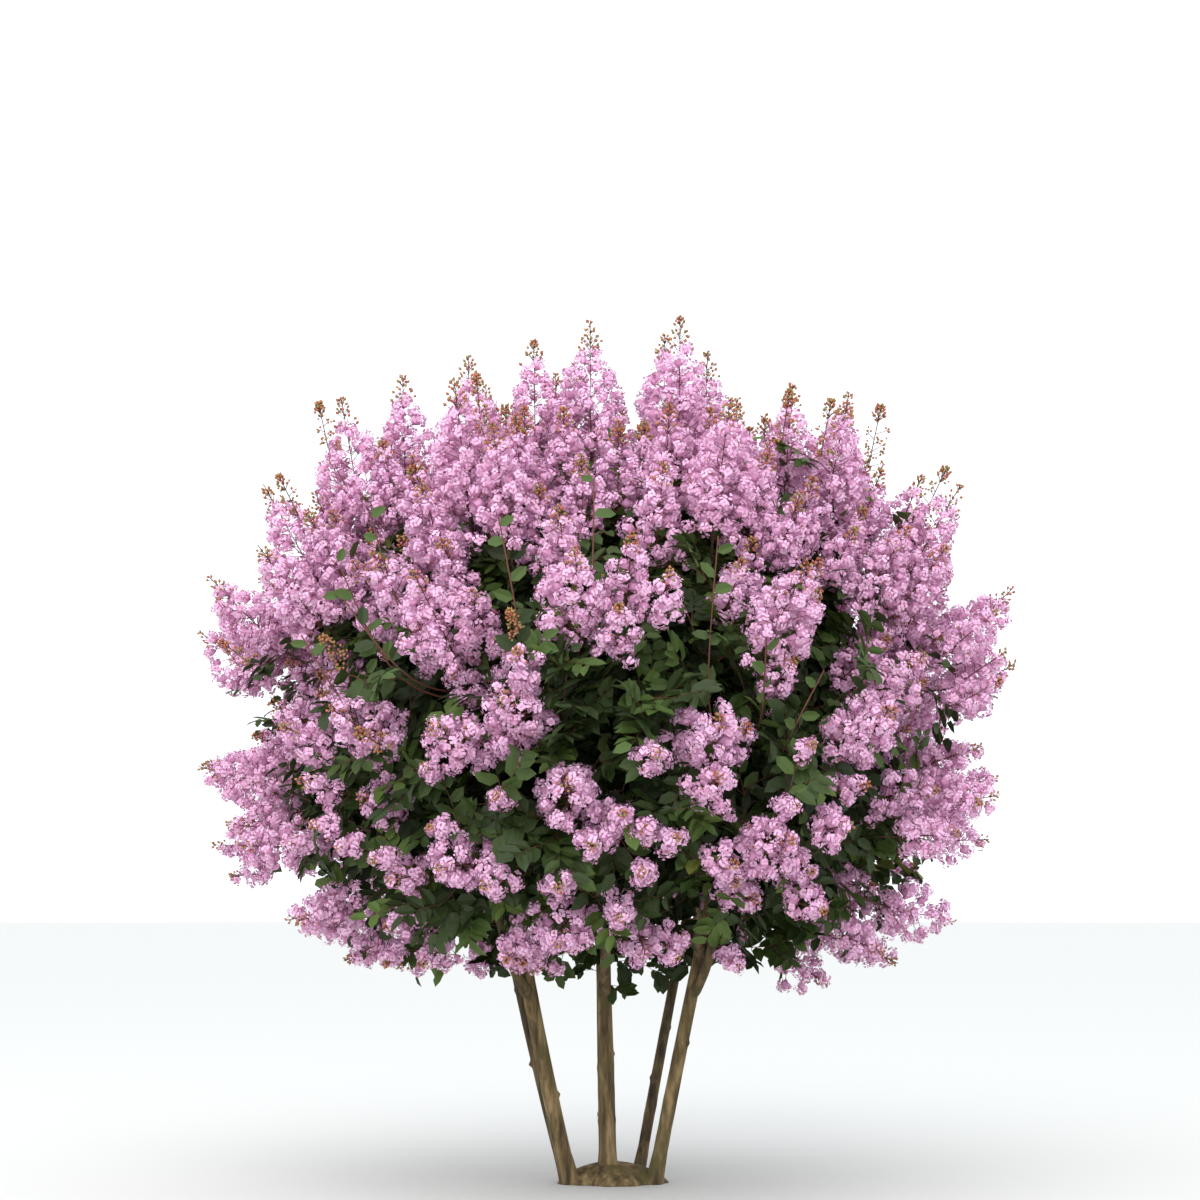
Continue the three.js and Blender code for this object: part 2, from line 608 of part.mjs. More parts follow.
for (const [name, spec] of Object.entries(BOUGHS)) {
  const shape = boughShape(spec);
  addNode(name, bough(spec, shape), BRANCH);
  limbLines.push({ points: shape.curve.getPoints(12), radius: shape.base + TWIG_CLEARANCE, of: name });
  addLeaders(spec.carries, shape);
}

Object.entries(MASSES).forEach(([name, mass], number) => addNode(name, massSolid(mass, number), BLOOM));

export default tree;
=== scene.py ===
import math

import bpy
import numpy as np
from numpy.random import default_rng
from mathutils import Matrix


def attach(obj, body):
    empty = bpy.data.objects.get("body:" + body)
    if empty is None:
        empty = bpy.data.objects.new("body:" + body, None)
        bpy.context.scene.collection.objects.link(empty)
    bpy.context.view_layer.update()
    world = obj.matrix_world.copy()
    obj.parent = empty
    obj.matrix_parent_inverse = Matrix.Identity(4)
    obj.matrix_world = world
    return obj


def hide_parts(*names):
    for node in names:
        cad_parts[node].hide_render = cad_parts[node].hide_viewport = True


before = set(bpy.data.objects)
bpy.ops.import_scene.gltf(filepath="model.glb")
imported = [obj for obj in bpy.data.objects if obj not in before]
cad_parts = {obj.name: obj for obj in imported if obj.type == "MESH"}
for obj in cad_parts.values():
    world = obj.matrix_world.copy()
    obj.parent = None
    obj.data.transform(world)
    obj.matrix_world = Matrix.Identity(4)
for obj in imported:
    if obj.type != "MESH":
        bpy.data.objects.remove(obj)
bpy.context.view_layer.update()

# ------------------------ camera
# The eye is 9.2 m in front of the tree and 1.07 m above the ground, about a sitting person's height, and
# looks a little up, so that the crown stands high in the frame and the stems near its lower edge.

LOOKS_UP = 6.85  # degrees above level


def in_scene(name, data):
    """An object of its own data, put into the scene."""
    made = bpy.data.objects.new(name, data)
    bpy.context.scene.collection.objects.link(made)
    return made


camera = in_scene("camera", bpy.data.cameras.new("camera"))
camera.data.lens = 72.9
camera.location = (-0.0227, -9.2, 1.07)
camera.rotation_euler = (math.radians(90 + LOOKS_UP), 0, 0)
bpy.context.scene.camera = camera

# ------------------------ floor and light
# A plain pale studio floor that runs out to a pale sky. The light is that of a bright overcast day: a sky
# that is white all over, and one broad soft lamp high in front on the left.

FLOOR = {"radius": 80, "sides": 96}


def tone(red, green, blue):
    """A colour as the eye reads it, 0 to 255, made linear: each channel is raised to its display curve."""
    part = np.array([red, green, blue]) / 255
    linear = np.where(part <= 0.04045, part / 12.92, ((part + 0.055) / 1.055) ** 2.4)
    return (*linear.tolist(), 1.0)


def finish(name, colour, roughness, **sockets):
    """A material of one plain colour: the shader's own sockets hold every value."""
    material = bpy.data.materials.new(name)
    material.use_nodes = True
    shader = material.node_tree.nodes["Principled BSDF"]
    shader.inputs["Base Color"].default_value = colour
    shader.inputs["Roughness"].default_value = roughness
    for socket, value in sockets.items():
        shader.inputs[socket.replace("_", " ")].default_value = value
    return material


def mesh_object(name, corners, faces, materials, which=None, smooth=True, lean=None):
    """A mesh object from whole arrays: corners is (n, 3) and faces (m, 3) or (m, 4), which is each face's
    material, and lean is the way each corner is shaded as facing, where that isn't its faces' own."""
    mesh = bpy.data.meshes.new(name)
    mesh.vertices.add(len(corners))
    mesh.vertices.foreach_set("co", np.ascontiguousarray(corners, np.float32).ravel())
    mesh.loops.add(faces.size)
    mesh.loops.foreach_set("vertex_index", np.ascontiguousarray(faces, np.int32).ravel())
    mesh.polygons.add(len(faces))
    mesh.polygons.foreach_set("loop_start", np.arange(0, faces.size, faces.shape[1], dtype=np.int32))
    for material in materials:
        mesh.materials.append(material)
    if which is not None:
        mesh.polygons.foreach_set("material_index", np.ascontiguousarray(which, np.int32))
    mesh.polygons.foreach_set("use_smooth", np.full(len(faces), smooth))
    mesh.update(calc_edges=True)
    mesh.validate()
    if lean is not None:
        mesh.normals_split_custom_set_from_vertices(lean)
    return in_scene(name, mesh)


def full_turn(count):
    """Angles spread evenly round a circle."""
    return np.linspace(0, 2 * math.pi, count, endpoint=False)


angle, count = full_turn(FLOOR["sides"]), FLOOR["sides"]
rim = [FLOOR["radius"] * np.cos(angle), FLOOR["radius"] * np.sin(angle), np.zeros(count)]
corners = np.vstack([np.stack(rim, axis=1), [[0, 0, 0]]])
faces = np.stack([np.arange(count), np.roll(np.arange(count), -1), np.full(count, count)], axis=1)
floor = mesh_object("floor", corners, faces, [finish("pale floor", tone(215, 215, 211), 0.9)])

sky = bpy.data.worlds.new("sky")
sky.use_nodes = True
sky.node_tree.nodes["Background"].inputs["Color"].default_value = (0.93, 0.96, 1.0, 1)
sky.node_tree.nodes["Background"].inputs["Strength"].default_value = 1.4
bpy.context.scene.world = sky

lamp = in_scene("lamp", bpy.data.lights.new("lamp", "AREA"))
lamp.data.shape = "DISK"
lamp.data.size = 11
lamp.data.energy = 650
lamp.data.color = (1.0, 0.975, 0.945)
lamp.location = (-1.8, -8.4, 8.0)
lamp.rotation_euler = (math.radians(54), 0, math.radians(-12))

bpy.context.scene.view_settings.view_transform = "Standard"

# ------------------------ stems
# Five slender stems lean outwards from one root crown. A crape myrtle's bark is thin and smooth, over wood
# with shallow lengthwise hollows, and it peels in long strips that leave paler patches.

# A stem bends from its foot past its knee to its top, and its radius runs from foot to top, in metres. Its
# stubs are left from old side twigs: height above the ground, bearing, and how far each stands out.
STEMS = {
    "stem_left": {
        "line": ((-0.134, -0.034, 0), (-0.256, -0.090, 0.52), (-0.355, -0.200, 1.12)),
        "radius": (0.031, 0.025), "stubs": ((0.322, 0, 0.008), (0.61, -70, 0.004)),
    },
    "stem_left_slim": {
        "line": ((-0.150, 0.062, 0), (-0.300, 0.128, 0.52), (-0.412, 0.250, 1.08)),
        "radius": (0.019, 0.015), "stubs": ((0.428, 185, 0.011), (0.7, 170, 0.004)),
    },
    "stem_centre": {
        "line": ((0.008, -0.006, 0), (-0.003, 0, 0.5), (-0.020, 0.030, 1.24)),
        "radius": (0.033, 0.025), "stubs": ((0.47, 5, 0.005), (0.62, -110, 0.004), (0.25, 180, 0.004)),
    },
    "stem_right_slim": {
        "line": ((0.118, 0.078, 0), (0.214, 0.142, 0.52), (0.335, 0.290, 1.08)),
        "radius": (0.021, 0.017), "stubs": ((0.37, 180, 0.005), (0.56, -20, 0.004)),
    },
    "stem_right": {
        "line": ((0.178, -0.038, 0), (0.276, -0.082, 0.52), (0.405, -0.190, 1.12)),
        "radius": (0.027, 0.022), "stubs": ((0.3, -100, 0.004), (0.52, 0, 0.005)),
    },
}
STEM = {"rings": 200, "sides": 40, "relief": 0.095, "sunk": 0.05}
STUB = {"tall": 0.009, "wide": 0.010}
KNOTS = {"least": 4, "per_metre": 5, "size": (0.012, 0.026), "rise": (0.4, 1.0), "turn": 0.5}
RELIEF = {"hollows": 0.55, "strips": 0.22, "knots": 1.1}
CLOSED = 0.02  # the share of its radius to which a limb's end ring closes
ROOT_CROWN_HEIGHT = 0.13
SEAT_GAP = 0.0004


def bend(points, shares):
    """A Bezier line's points at the shares: each control point counts by its Bernstein weight. Many lines may
    be given at once, as (..., control points, 3)."""
    points, shares = np.asarray(points, float), np.atleast_1d(shares)
    last = points.shape[-2] - 1
    weights = [math.comb(last, i) * shares**i * (1 - shares) ** (last - i) for i in range(last + 1)]
    return np.einsum("...ni,...id->...nd", np.stack(weights, axis=-1), points)


def lengths(vectors):
    """The length of each vector."""
    return np.linalg.norm(vectors, axis=-1)


def unit(vectors):
    """Each vector divided by its own length."""
    return vectors / np.maximum(lengths(vectors)[..., None], 1e-12)


def slope(points, share):
    """The way a Bezier line runs: the Bezier line of the steps between its control points, at unit length."""
    return unit(bend(np.diff(np.asarray(points, float), axis=-2), share))


def line_length(points):
    """A Bezier line's length: the sum of two hundred straight steps."""
    return lengths(np.diff(bend(points, np.linspace(0, 1, 201)), axis=0)).sum()


def spoke(first, second, angle):
    """The way at an angle in the plane of two axes: cosine times the first plus sine times the second."""
    return first * np.cos(angle)[..., None] + second * np.sin(angle)[..., None]


def skin(rings):
    """Corners and quads of closed rings in rows, (..., rings, sides, 3): each quad joins two neighbours of a
    ring to the two above them on the next."""
    index = np.arange(rings[..., 0].size).reshape(rings.shape[:-1])
    low, high = index[..., :-1, :], index[..., 1:, :]
    faces = np.stack([low, np.roll(low, -1, -1), np.roll(high, -1, -1), high], axis=-1)
    return rings.reshape(-1, 3), faces.reshape(-1, 4)


def tubes(lines, radii, sides):
    """Many tubes at once. lines is (m, n, 3) and radii (m, n) or (m, n, sides). Each ring stands square to
    its line, in the plane of two axes that are made from one fixed direction for each tube."""
    along = unit(np.gradient(lines, axis=1))
    whole = unit(lines[:, -1] - lines[:, 0])
    fixed = np.where(np.abs(whole[:, 2:]) < 0.8, [[0.0, 0.0, 1.0]], [[1.0, 0.0, 0.0]])[:, None, :]
    first = unit(fixed - along * (along * fixed).sum(-1, keepdims=True))
    second = np.cross(along, first)
    radii = radii[..., None] if radii.ndim == 2 else radii
    ring = spoke(first[:, :, None], second[:, :, None], full_turn(sides))
    return skin(lines[:, :, None] + ring * radii[..., None])


def ripple(draw, around, along, waves, coarse, fine):
    """Uneven relief: a sum of waves round and along the limb, each with its own whole number of turns, pitch
    and start, and weaker the finer it is."""
    height = np.zeros(np.broadcast_shapes(around.shape, along.shape))
    for _ in range(waves):
        turns = draw.integers(0, 7)
        pitch = draw.uniform(coarse, fine)
        weight = (coarse / pitch) ** 0.7 / (1 + 0.25 * turns)
        height = height + weight * np.sin(turns * around + pitch * along + draw.uniform(0, 2 * math.pi))
    return height / math.sqrt(waves)


def bark_finish(name, dark, middle, pale, moss):
    """Peeling bark: a stretched noise deals dark, middle and pale strips along the limb, a broad noise greys
    some of it with moss, and fine noise gives the grain and its relief."""
    material = bpy.data.materials.new(name)
    material.use_nodes = True
    nodes, links = material.node_tree.nodes, material.node_tree.links
    shader = nodes["Principled BSDF"]
    place = nodes.new("ShaderNodeTexCoord")

    def add(kind, **sockets):
        """A node with the values of its sockets."""
        node = nodes.new("ShaderNode" + kind)
        for socket, value in sockets.items():
            node.inputs[socket.replace("_", " ")].default_value = value
        return node

    def noise(upright, scale, detail, roughness):
        """Noise on the limb's own place, drawn out along its height."""
        mapping = add("Mapping", Scale=(1, 1, upright))
        texture = add("TexNoise", Scale=scale, Detail=detail, Roughness=roughness)
        links.new(place.outputs["Object"], mapping.inputs["Vector"])
        links.new(mapping.outputs["Vector"], texture.inputs["Vector"])
        return texture.outputs["Fac"]

    strips = add("ValToRGB")
    stops = strips.color_ramp.elements
    stops[0].position, stops[0].color = 0.36, dark
    stops[1].position, stops[1].color = 0.68, pale
    stops.new(0.5).color = middle
    links.new(noise(upright=0.14, scale=34, detail=4, roughness=0.62), strips.inputs["Fac"])
    patch = add("MapRange", From_Min=0.52, From_Max=0.66)
    links.new(noise(upright=0.6, scale=9, detail=3, roughness=0.6), patch.inputs["Value"])
    mossy = nodes.new("ShaderNodeMix")
    mossy.data_type = "RGBA"
    mossy.inputs["B"].default_value = moss
    links.new(patch.outputs["Result"], mossy.inputs["Factor"])
    links.new(strips.outputs["Color"], mossy.inputs["A"])
    links.new(mossy.outputs["Result"], shader.inputs["Base Color"])
    bump = add("Bump", Strength=0.6, Distance=0.003)
    links.new(noise(upright=0.22, scale=130, detail=5, roughness=0.65), bump.inputs["Height"])
    links.new(bump.outputs["Normal"], shader.inputs["Normal"])
    shader.inputs["Roughness"].default_value = 0.82
    return material


stem_bark = bark_finish(
    "stem bark", tone(60, 48, 28), tone(106, 87, 54), tone(154, 131, 92), tone(88, 80, 42)
)
# The slim stems stand behind the others: their bark is the stem bark darkened by about a quarter, as painted
# shade.
slim_bark_painted_shade = bark_finish(
    "slim stem bark", tone(44, 34, 21), tone(82, 65, 40), tone(122, 101, 68), tone(68, 61, 33)
)


def bark_limb(name, line, radii, sides, draw, relief, material, stubs=()):
    """A limb's bark: a tube whose rings are lifted by broad hollows, knots and fine strips, and by a narrow
    bump for each stub, closed by a dome at its tip."""
    length = lengths(np.diff(line, axis=0)).sum()
    around = full_turn(sides)[None, :]
    along = np.linspace(0, 1, len(line))[:, None] * length
    hollows = ripple(draw, around, along, waves=9, coarse=3.0, fine=14.0)
    strips = ripple(draw, 2 * around, along, waves=24, coarse=18.0, fine=90.0)
    knots = np.zeros((len(line), sides))
    for _ in range(int(KNOTS["least"] + KNOTS["per_metre"] * length)):
        at, angle = draw.uniform(0, length), draw.uniform(0, 2 * math.pi)
        turn = np.angle(np.exp(1j * (around - angle)))
        size = draw.uniform(*KNOTS["size"])
        rise = draw.uniform(*KNOTS["rise"])
        knots += rise * np.exp(-(((along - at) / size) ** 2) - (turn / KNOTS["turn"]) ** 2)
    lift = RELIEF["hollows"] * hollows + RELIEF["strips"] * strips + RELIEF["knots"] * knots
    rings = radii[:, None] * (1 + relief * lift)
    for height, bearing, out in stubs:
        turn = np.angle(np.exp(1j * (around - math.radians(bearing)))) * radii[:, None]
        rings += out * np.exp(-(((line[:, 2:] - height) / STUB["tall"]) ** 2) - (turn / STUB["wide"]) ** 2)
    dome = np.sqrt(np.clip(1 - ((along - length) / radii[-1] + 1).clip(0, None) ** 2, 0, 1))
    rings = rings * np.maximum(dome, CLOSED)
    rings[0] *= CLOSED
    line = np.vstack([line[:1], line[:1] + 1e-4 * (line[1] - line[0]), line[1:]])
    rings = np.vstack([rings[:1], rings[1:2], rings[1:]])
    return mesh_object(name, *tubes(line[None], rings[None], sides), [material])


for name, stem in STEMS.items():
    start = (ROOT_CROWN_HEIGHT - STEM["sunk"]) / line_length(stem["line"])
    bark = bark_limb(
        "bark_" + name, bend(stem["line"], np.linspace(start, 1, STEM["rings"])),
        np.linspace(*stem["radius"], STEM["rings"]), STEM["sides"], default_rng(len(name)),
        STEM["relief"], slim_bark_painted_shade if name.endswith("slim") else stem_bark, stem["stubs"],
    )
    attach(bark, "root")
    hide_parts(name)

# ------------------------ root crown
# The stems grow from one woody root crown in the stems' own bark. Their flared feet, ridged where roots
# begin, run together in a low uneven mound, and all of it is cut flat at the ground.

MOUND = {"half": (0.185, 0.128, 0.078), "middle": (0.022, 0.012), "rings": 34, "sides": 120, "round": 0.75}
FLARE = {"widest": 1.75, "swell": 0.6, "buried": 0.065, "rings": 30, "sides": 48, "over": 0.012}


def joined(parts):
    """Meshes made one: the faces of each count on from the corners of those before it."""
    starts = np.cumsum([0] + [len(corners) for corners, _ in parts])
    faces = [faces + start for (_, faces), start in zip(parts, starts)]
    return np.vstack([corners for corners, _ in parts]), np.vstack(faces)


draw = default_rng(3)
parts = []
top_ring = ROOT_CROWN_HEIGHT + FLARE["over"]
height = np.concatenate([[0], np.linspace(0, top_ring, FLARE["rings"]), [top_ring]])[:, None]
angle = full_turn(FLARE["sides"])[None, :]
for turn, stem in enumerate(STEMS.values()):
    end = ROOT_CROWN_HEIGHT / line_length(stem["line"])
    top, lean = bend(stem["line"], end)[0], slope(stem["line"], end)[0]
    share = ((height + FLARE["buried"]) / (ROOT_CROWN_HEIGHT + FLARE["buried"])).clip(0, 1)
    radius = stem["radius"][0] * (FLARE["widest"] + (1 - FLARE["widest"]) * share ** FLARE["swell"])
    ridges = 0.10 * np.cos(3 * angle + turn) + 0.05 * np.cos(7 * angle - turn)
    wrinkles = 0.0016 * ripple(draw, angle, height, waves=20, coarse=10, fine=80)
    radius = radius * (0.98 + ridges * (1 - share)) + wrinkles
    radius[0], radius[-1] = 0.0005, 0.0005
    axis = top + lean * ((height - top[2]) / lean[2])
    around = np.stack([radius * np.cos(angle), radius * np.sin(angle), np.zeros(radius.shape)], axis=-1)
    parts.append(skin(axis[:, None] + around))

share = np.concatenate([[0.001], np.linspace(1.0, 0.001, MOUND["rings"])])[:, None]
angle = full_turn(MOUND["sides"])[None, :]
rim = 1.06 + 0.07 * np.cos(5 * angle + 1) + 0.035 * np.cos(11 * angle)
lumps = 1 + 0.05 * ripple(draw, angle, 12 * share, waves=24, coarse=0.5, fine=4)
rise = MOUND["half"][2] * (1 - share**2).clip(0) ** MOUND["round"] * lumps
rise[:2] = 0
parts.append(skin(np.stack([
    MOUND["middle"][0] + MOUND["half"][0] * share * rim * np.cos(angle),
    MOUND["middle"][1] + MOUND["half"][1] * share * rim * np.sin(angle), rise,
], axis=-1)))
foot = mesh_object("bark_root_crown", *joined(parts), [stem_bark])
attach(foot, "root")
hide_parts("root_crown")

# ------------------------ the crown's outline and the masses' places
# Every shoot of the crown grows to one rounded outline. Each mass of shoots has its own sector of it, and
# keeps clear of its neighbours' sectors, as branches do that shade each other.

CROWN = {
    "middle": 1.75, "half_width": 1.5, "rise": 1.25, "drop": 1.085, "round_above": 2.5, "round_below": 2.8,
}
HUB = np.array([0, 0, 1.15])
BOUGH_REACH = 0.5
CELL_MARGIN = 0.003
HEART_AT = 0.8
NEIGHBOURS = 4
SPREAD = 0.46
GOLDEN_ANGLE = 137.5

# bearing, pitch, reach, turn of the first side shoot, side shoots, and how many of them bear no panicle.
MASSES = {
    "crest_left": (-95, 62, 1.05, 175, 4, 0),
    "crest_right": (-66, 63, 1.07, 40, 4, 0),
    "crest_rear": (60, 67, 0.98, 20, 4, 0),
    "crest_rear_left": (158, 67, 0.98, 80, 4, 0),
    "upper_left": (-119, 43, 1.0, 60, 4, 0),
    "upper_left_outer": (-158, 45, 1.01, 130, 5, 0),
    "upper_right": (-70, 37, 1.0, 110, 4, 0),
    "upper_right_outer": (-40, 42, 1.01, 30, 4, 0),
    "upper_rear_right": (22, 43, 0.99, 10, 4, 0),
    "upper_rear_left": (138, 42, 1.0, 170, 4, 0),
    "shoulder_left": (-150, 27, 1.01, 100, 4, 0),
    "shoulder_left_front": (-115, 13, 1.0, 150, 4, 0),
    "shoulder_front": (-94, 15, 1.0, 70, 4, 1),
    "shoulder_right_front": (-64, 14, 1.0, 60, 4, 0),
    "shoulder_right": (-27, 27, 1.02, 80, 4, 0),
    "shoulder_rear_right": (36, 17, 1.0, 200, 4, 0),
    "shoulder_rear": (84, 26, 1.0, 330, 5, 0),
    "shoulder_rear_left": (136, 16, 1.01, 240, 4, 0),
    "side_left": (-163, 16, 1.01, 270, 5, 0),
    "side_left_front": (-128, -3, 0.99, 200, 5, 2),
    "side_front_left": (-103, -2, 0.98, 30, 5, 3),
    "side_front_right": (-76, -5, 0.99, 330, 5, 3),
    "side_right_front": (-50, -3, 0.99, 10, 5, 2),
    "side_right": (-11, 15, 1.02, 265, 5, 0),
    "side_rear_right": (28, -5, 1.0, 160, 4, 1),
    "side_rear": (88, 2, 0.99, 20, 5, 2),
    "side_rear_left": (146, -8, 1.01, 280, 4, 1),
    "low_left": (-163, -9, 1.01, 230, 5, 0),
    "low_left_front": (-114, -24, 0.98, 60, 5, 3),
    "low_front": (-95, -13, 0.98, 190, 4, 2),
    "low_right_front": (-65, -20, 0.99, 0, 4, 1),
    "low_right": (-24, -13, 1.01, 250, 5, 0),
    "low_rear_right": (38, -29, 1.0, 140, 5, 2),
    "low_rear": (97, -27, 0.99, 210, 5, 2),
    "low_rear_left": (154, -35, 1.02, 260, 4, 1),
    "hem_left": (-149, -31, 1.02, 245, 5, 1),
    "hem_front": (-98, -36, 1.0, 330, 4, 1),
    "hem_right": (-18, -31, 1.03, 280, 5, 1),
}


def pointing(bearing, pitch):
    """The unit vector at a bearing and a pitch in degrees."""
    bearing, pitch = math.radians(bearing), math.radians(pitch)
    level = math.cos(pitch)
    return np.array([level * math.cos(bearing), level * math.sin(bearing), math.sin(pitch)])


def on_outline(way, reach):
    """The point at a share of the way from the crown's middle to its outline, which is a superellipsoid that
    is fuller below the middle than above."""
    half = ("round_above", "rise") if way[2] > 0 else ("round_below", "drop")
    power, height = (CROWN[part] for part in half)
    level = math.hypot(way[0], way[1]) / CROWN["half_width"]
    size = (level**power + abs(way[2] / height) ** power) ** (-1 / power)
    return np.array([0, 0, CROWN["middle"]]) + way * size * reach


def far_out(at):
    """How far out points stand from the crown's middle: 0 there and 1 on the outline."""
    away = at - [0, 0, CROWN["middle"]]
    level, height = np.hypot(away[:, 0], away[:, 1]) / CROWN["half_width"], away[:, 2]
    high, low = CROWN["round_above"], CROWN["round_below"]
    above = level**high + (height.clip(0) / CROWN["rise"]) ** high
    below = level**low + (-height.clip(None, 0) / CROWN["drop"]) ** low
    return np.where(height > 0, above ** (1 / high), below ** (1 / low))


def rank(way):
    """How high in the crown a way points: 0 at the hem and 1 at the top."""
    return min(max((way[2] + 0.65) / 1.45, 0), 1)


def growth_at(way):
    """The way a shoot's tip grows: outwards, and turned up to the light by 25 degrees and a fifth more."""
    pitch = 25 + 1.2 * math.degrees(math.asin(way[2]))
    return pointing(math.degrees(math.atan2(way[1], way[0])), min(pitch, 88))


masses = {}
for number, (name, (bearing, pitch, reach, turn, side_shoots, leafy)) in enumerate(MASSES.items()):
    way = pointing(bearing, pitch)
    tip = on_outline(way, reach)
    masses[name] = {
        "name": name, "number": number, "tier": name.split("_")[0], "way": way, "reach": reach, "turn": turn,
        "side_shoots": side_shoots, "leafy": leafy, "tip": tip, "heart": HUB + (tip - HUB) * HEART_AT,
    }
ways = np.array([mass["way"] for mass in masses.values()])
hearts = np.array([mass["heart"] for mass in masses.values()])
for mass in masses.values():
    angles = np.sort(np.arccos(np.clip(ways @ mass["way"], -1, 1)))[1 : 1 + NEIGHBOURS]
    mass["spread"] = SPREAD * angles.sum() / NEIGHBOURS
    others = np.delete(hearts, mass["number"], axis=0)
    mass["across"] = unit(others - mass["heart"])
    mass["plane"] = (mass["across"] * (others + mass["heart"])).sum(1) / 2


def in_own_space(mass, at, along, radius):
    """Whether rings lie inside all the planes midway between a mass's heart and its neighbours': a ring
    reaches across a plane by its radius times the sine of the angle between its axis and the plane's."""
    reach = radius[:, None] * np.sqrt(np.maximum(0, 1 - (along @ mass["across"].T) ** 2))
    return bool(((at @ mass["across"].T) + reach + CELL_MARGIN < mass["plane"]).all())


# ------------------------ boughs
# Sixteen boughs leave the stems' tips and sides and rise through the open middle of the crown. Each ends
# where it forks into the leading shoots of its two or three masses. Their bark is rougher; its darker tone is
# painted shade.

# The stem that each bough leaves, at which share of it, and the masses that it carries.
BOUGHS = {
    "bough_crest": ("stem_centre", 1, ("crest_left", "crest_right", "crest_rear")),
    "bough_front": ("stem_centre", 0.84, ("shoulder_front", "side_front_left")),
    "bough_front_low": ("stem_centre", 0.6, ("side_front_right", "low_front", "hem_front")),
    "bough_rear": ("stem_centre", 0.72, ("shoulder_rear", "side_rear", "low_rear")),
    "bough_left_crown": ("stem_left", 1, ("upper_left", "upper_left_outer")),
    "bough_left_shoulder": ("stem_left", 0.88, ("shoulder_left", "side_left")),
    "bough_left_front": ("stem_left", 0.76, ("shoulder_left_front", "side_left_front")),
    "bough_left_hem": ("stem_left", 0.64, ("low_left_front", "hem_left", "low_left")),
    "bough_rear_left_crown": (
        "stem_left_slim", 1, ("crest_rear_left", "upper_rear_left", "shoulder_rear_left"),
    ),
    "bough_rear_left_side": ("stem_left_slim", 0.8, ("side_rear_left", "low_rear_left")),
    "bough_right_crown": ("stem_right", 1, ("upper_right", "upper_right_outer")),
    "bough_right_shoulder": ("stem_right", 0.88, ("shoulder_right", "side_right")),
    "bough_right_front": ("stem_right", 0.76, ("shoulder_right_front", "side_right_front")),
    "bough_right_hem": ("stem_right", 0.64, ("low_right_front", "low_right", "hem_right")),
    "bough_rear_right_crown": ("stem_right_slim", 1, ("upper_rear_right", "shoulder_rear_right")),
    "bough_rear_right_side": ("stem_right_slim", 0.8, ("side_rear_right", "low_rear_right")),
}
BOUGH = {
    "of_stem_side": 0.72, "of_stem_tip": 0.95, "thickest": 0.020, "tip_of_two": 0.0135,
    "tip_of_three": 0.0155, "taper": 0.97, "along": 0.95, "leaves": 0.35, "arrives": 0.3, "rings": 64,
    "sides": 18, "relief": 0.08, "sunk": 0.004,
}
# How much thicker a bough starts than it goes on, and over what length, in metres.
COLLAR = {"swell": 0.45, "over": 0.05, "over_at_tip": 0.06}
CLEARANCE = {"stem": 0.004, "limb": 0.002}
LEADER = {"radius": 0.007, "offset": 0.6, "steps": 3}
SUNK = 0.2  # the share of a panicle that its shoot runs up into
PANICLE = {"length": (0.250, 0.400), "radius": (0.112, 0.142)}
# The boughs' bark is the stem bark a little darker: painted shade inside the crown.
bough_bark_painted_shade = bark_finish(
    "bough bark", tone(52, 41, 25), tone(92, 75, 47), tone(132, 111, 77), tone(76, 69, 38)
)


def between(ends, share):
    """The value at a share of the way from one end to the other."""
    return ends[0] * (1 - share) + ends[1] * share


def shoot_curve(start, leaving, end, arriving):
    """A shoot's line: a Bezier line that holds its first way for 0.38 of its length and its last for 0.34."""
    length = np.linalg.norm(end - start)
    return np.array([start, start + leaving * length * 0.38, end - arriving * length * 0.34, end])


def panicle_at(way, reach, small):
    """The panicle of a shoot that ends at a way and reach: longer and wider the higher it stands."""
    along, high = growth_at(way), rank(way)
    length, radius = (between(PANICLE[size], high) * small for size in ("length", "radius"))
    base = on_outline(way, reach) - along * length
    return {"base": base, "along": along, "length": length, "radius": radius, "high": high}


def stop_in(panicle):
    """Where a panicle's shoot stops, a little way up inside it."""
    return panicle["base"] + panicle["along"] * panicle["length"] * SUNK


def keep_clear_of(line, radius, whose):
    """Puts a limb's line and thickness down as what twigs keep clear of."""
    limb_lines.append((bend(line, np.linspace(0, 1, 13)), radius, whose))


limb_lines = []
for name, stem in STEMS.items():
    keep_clear_of(stem["line"], stem["radius"][0] + CLEARANCE["stem"], name)

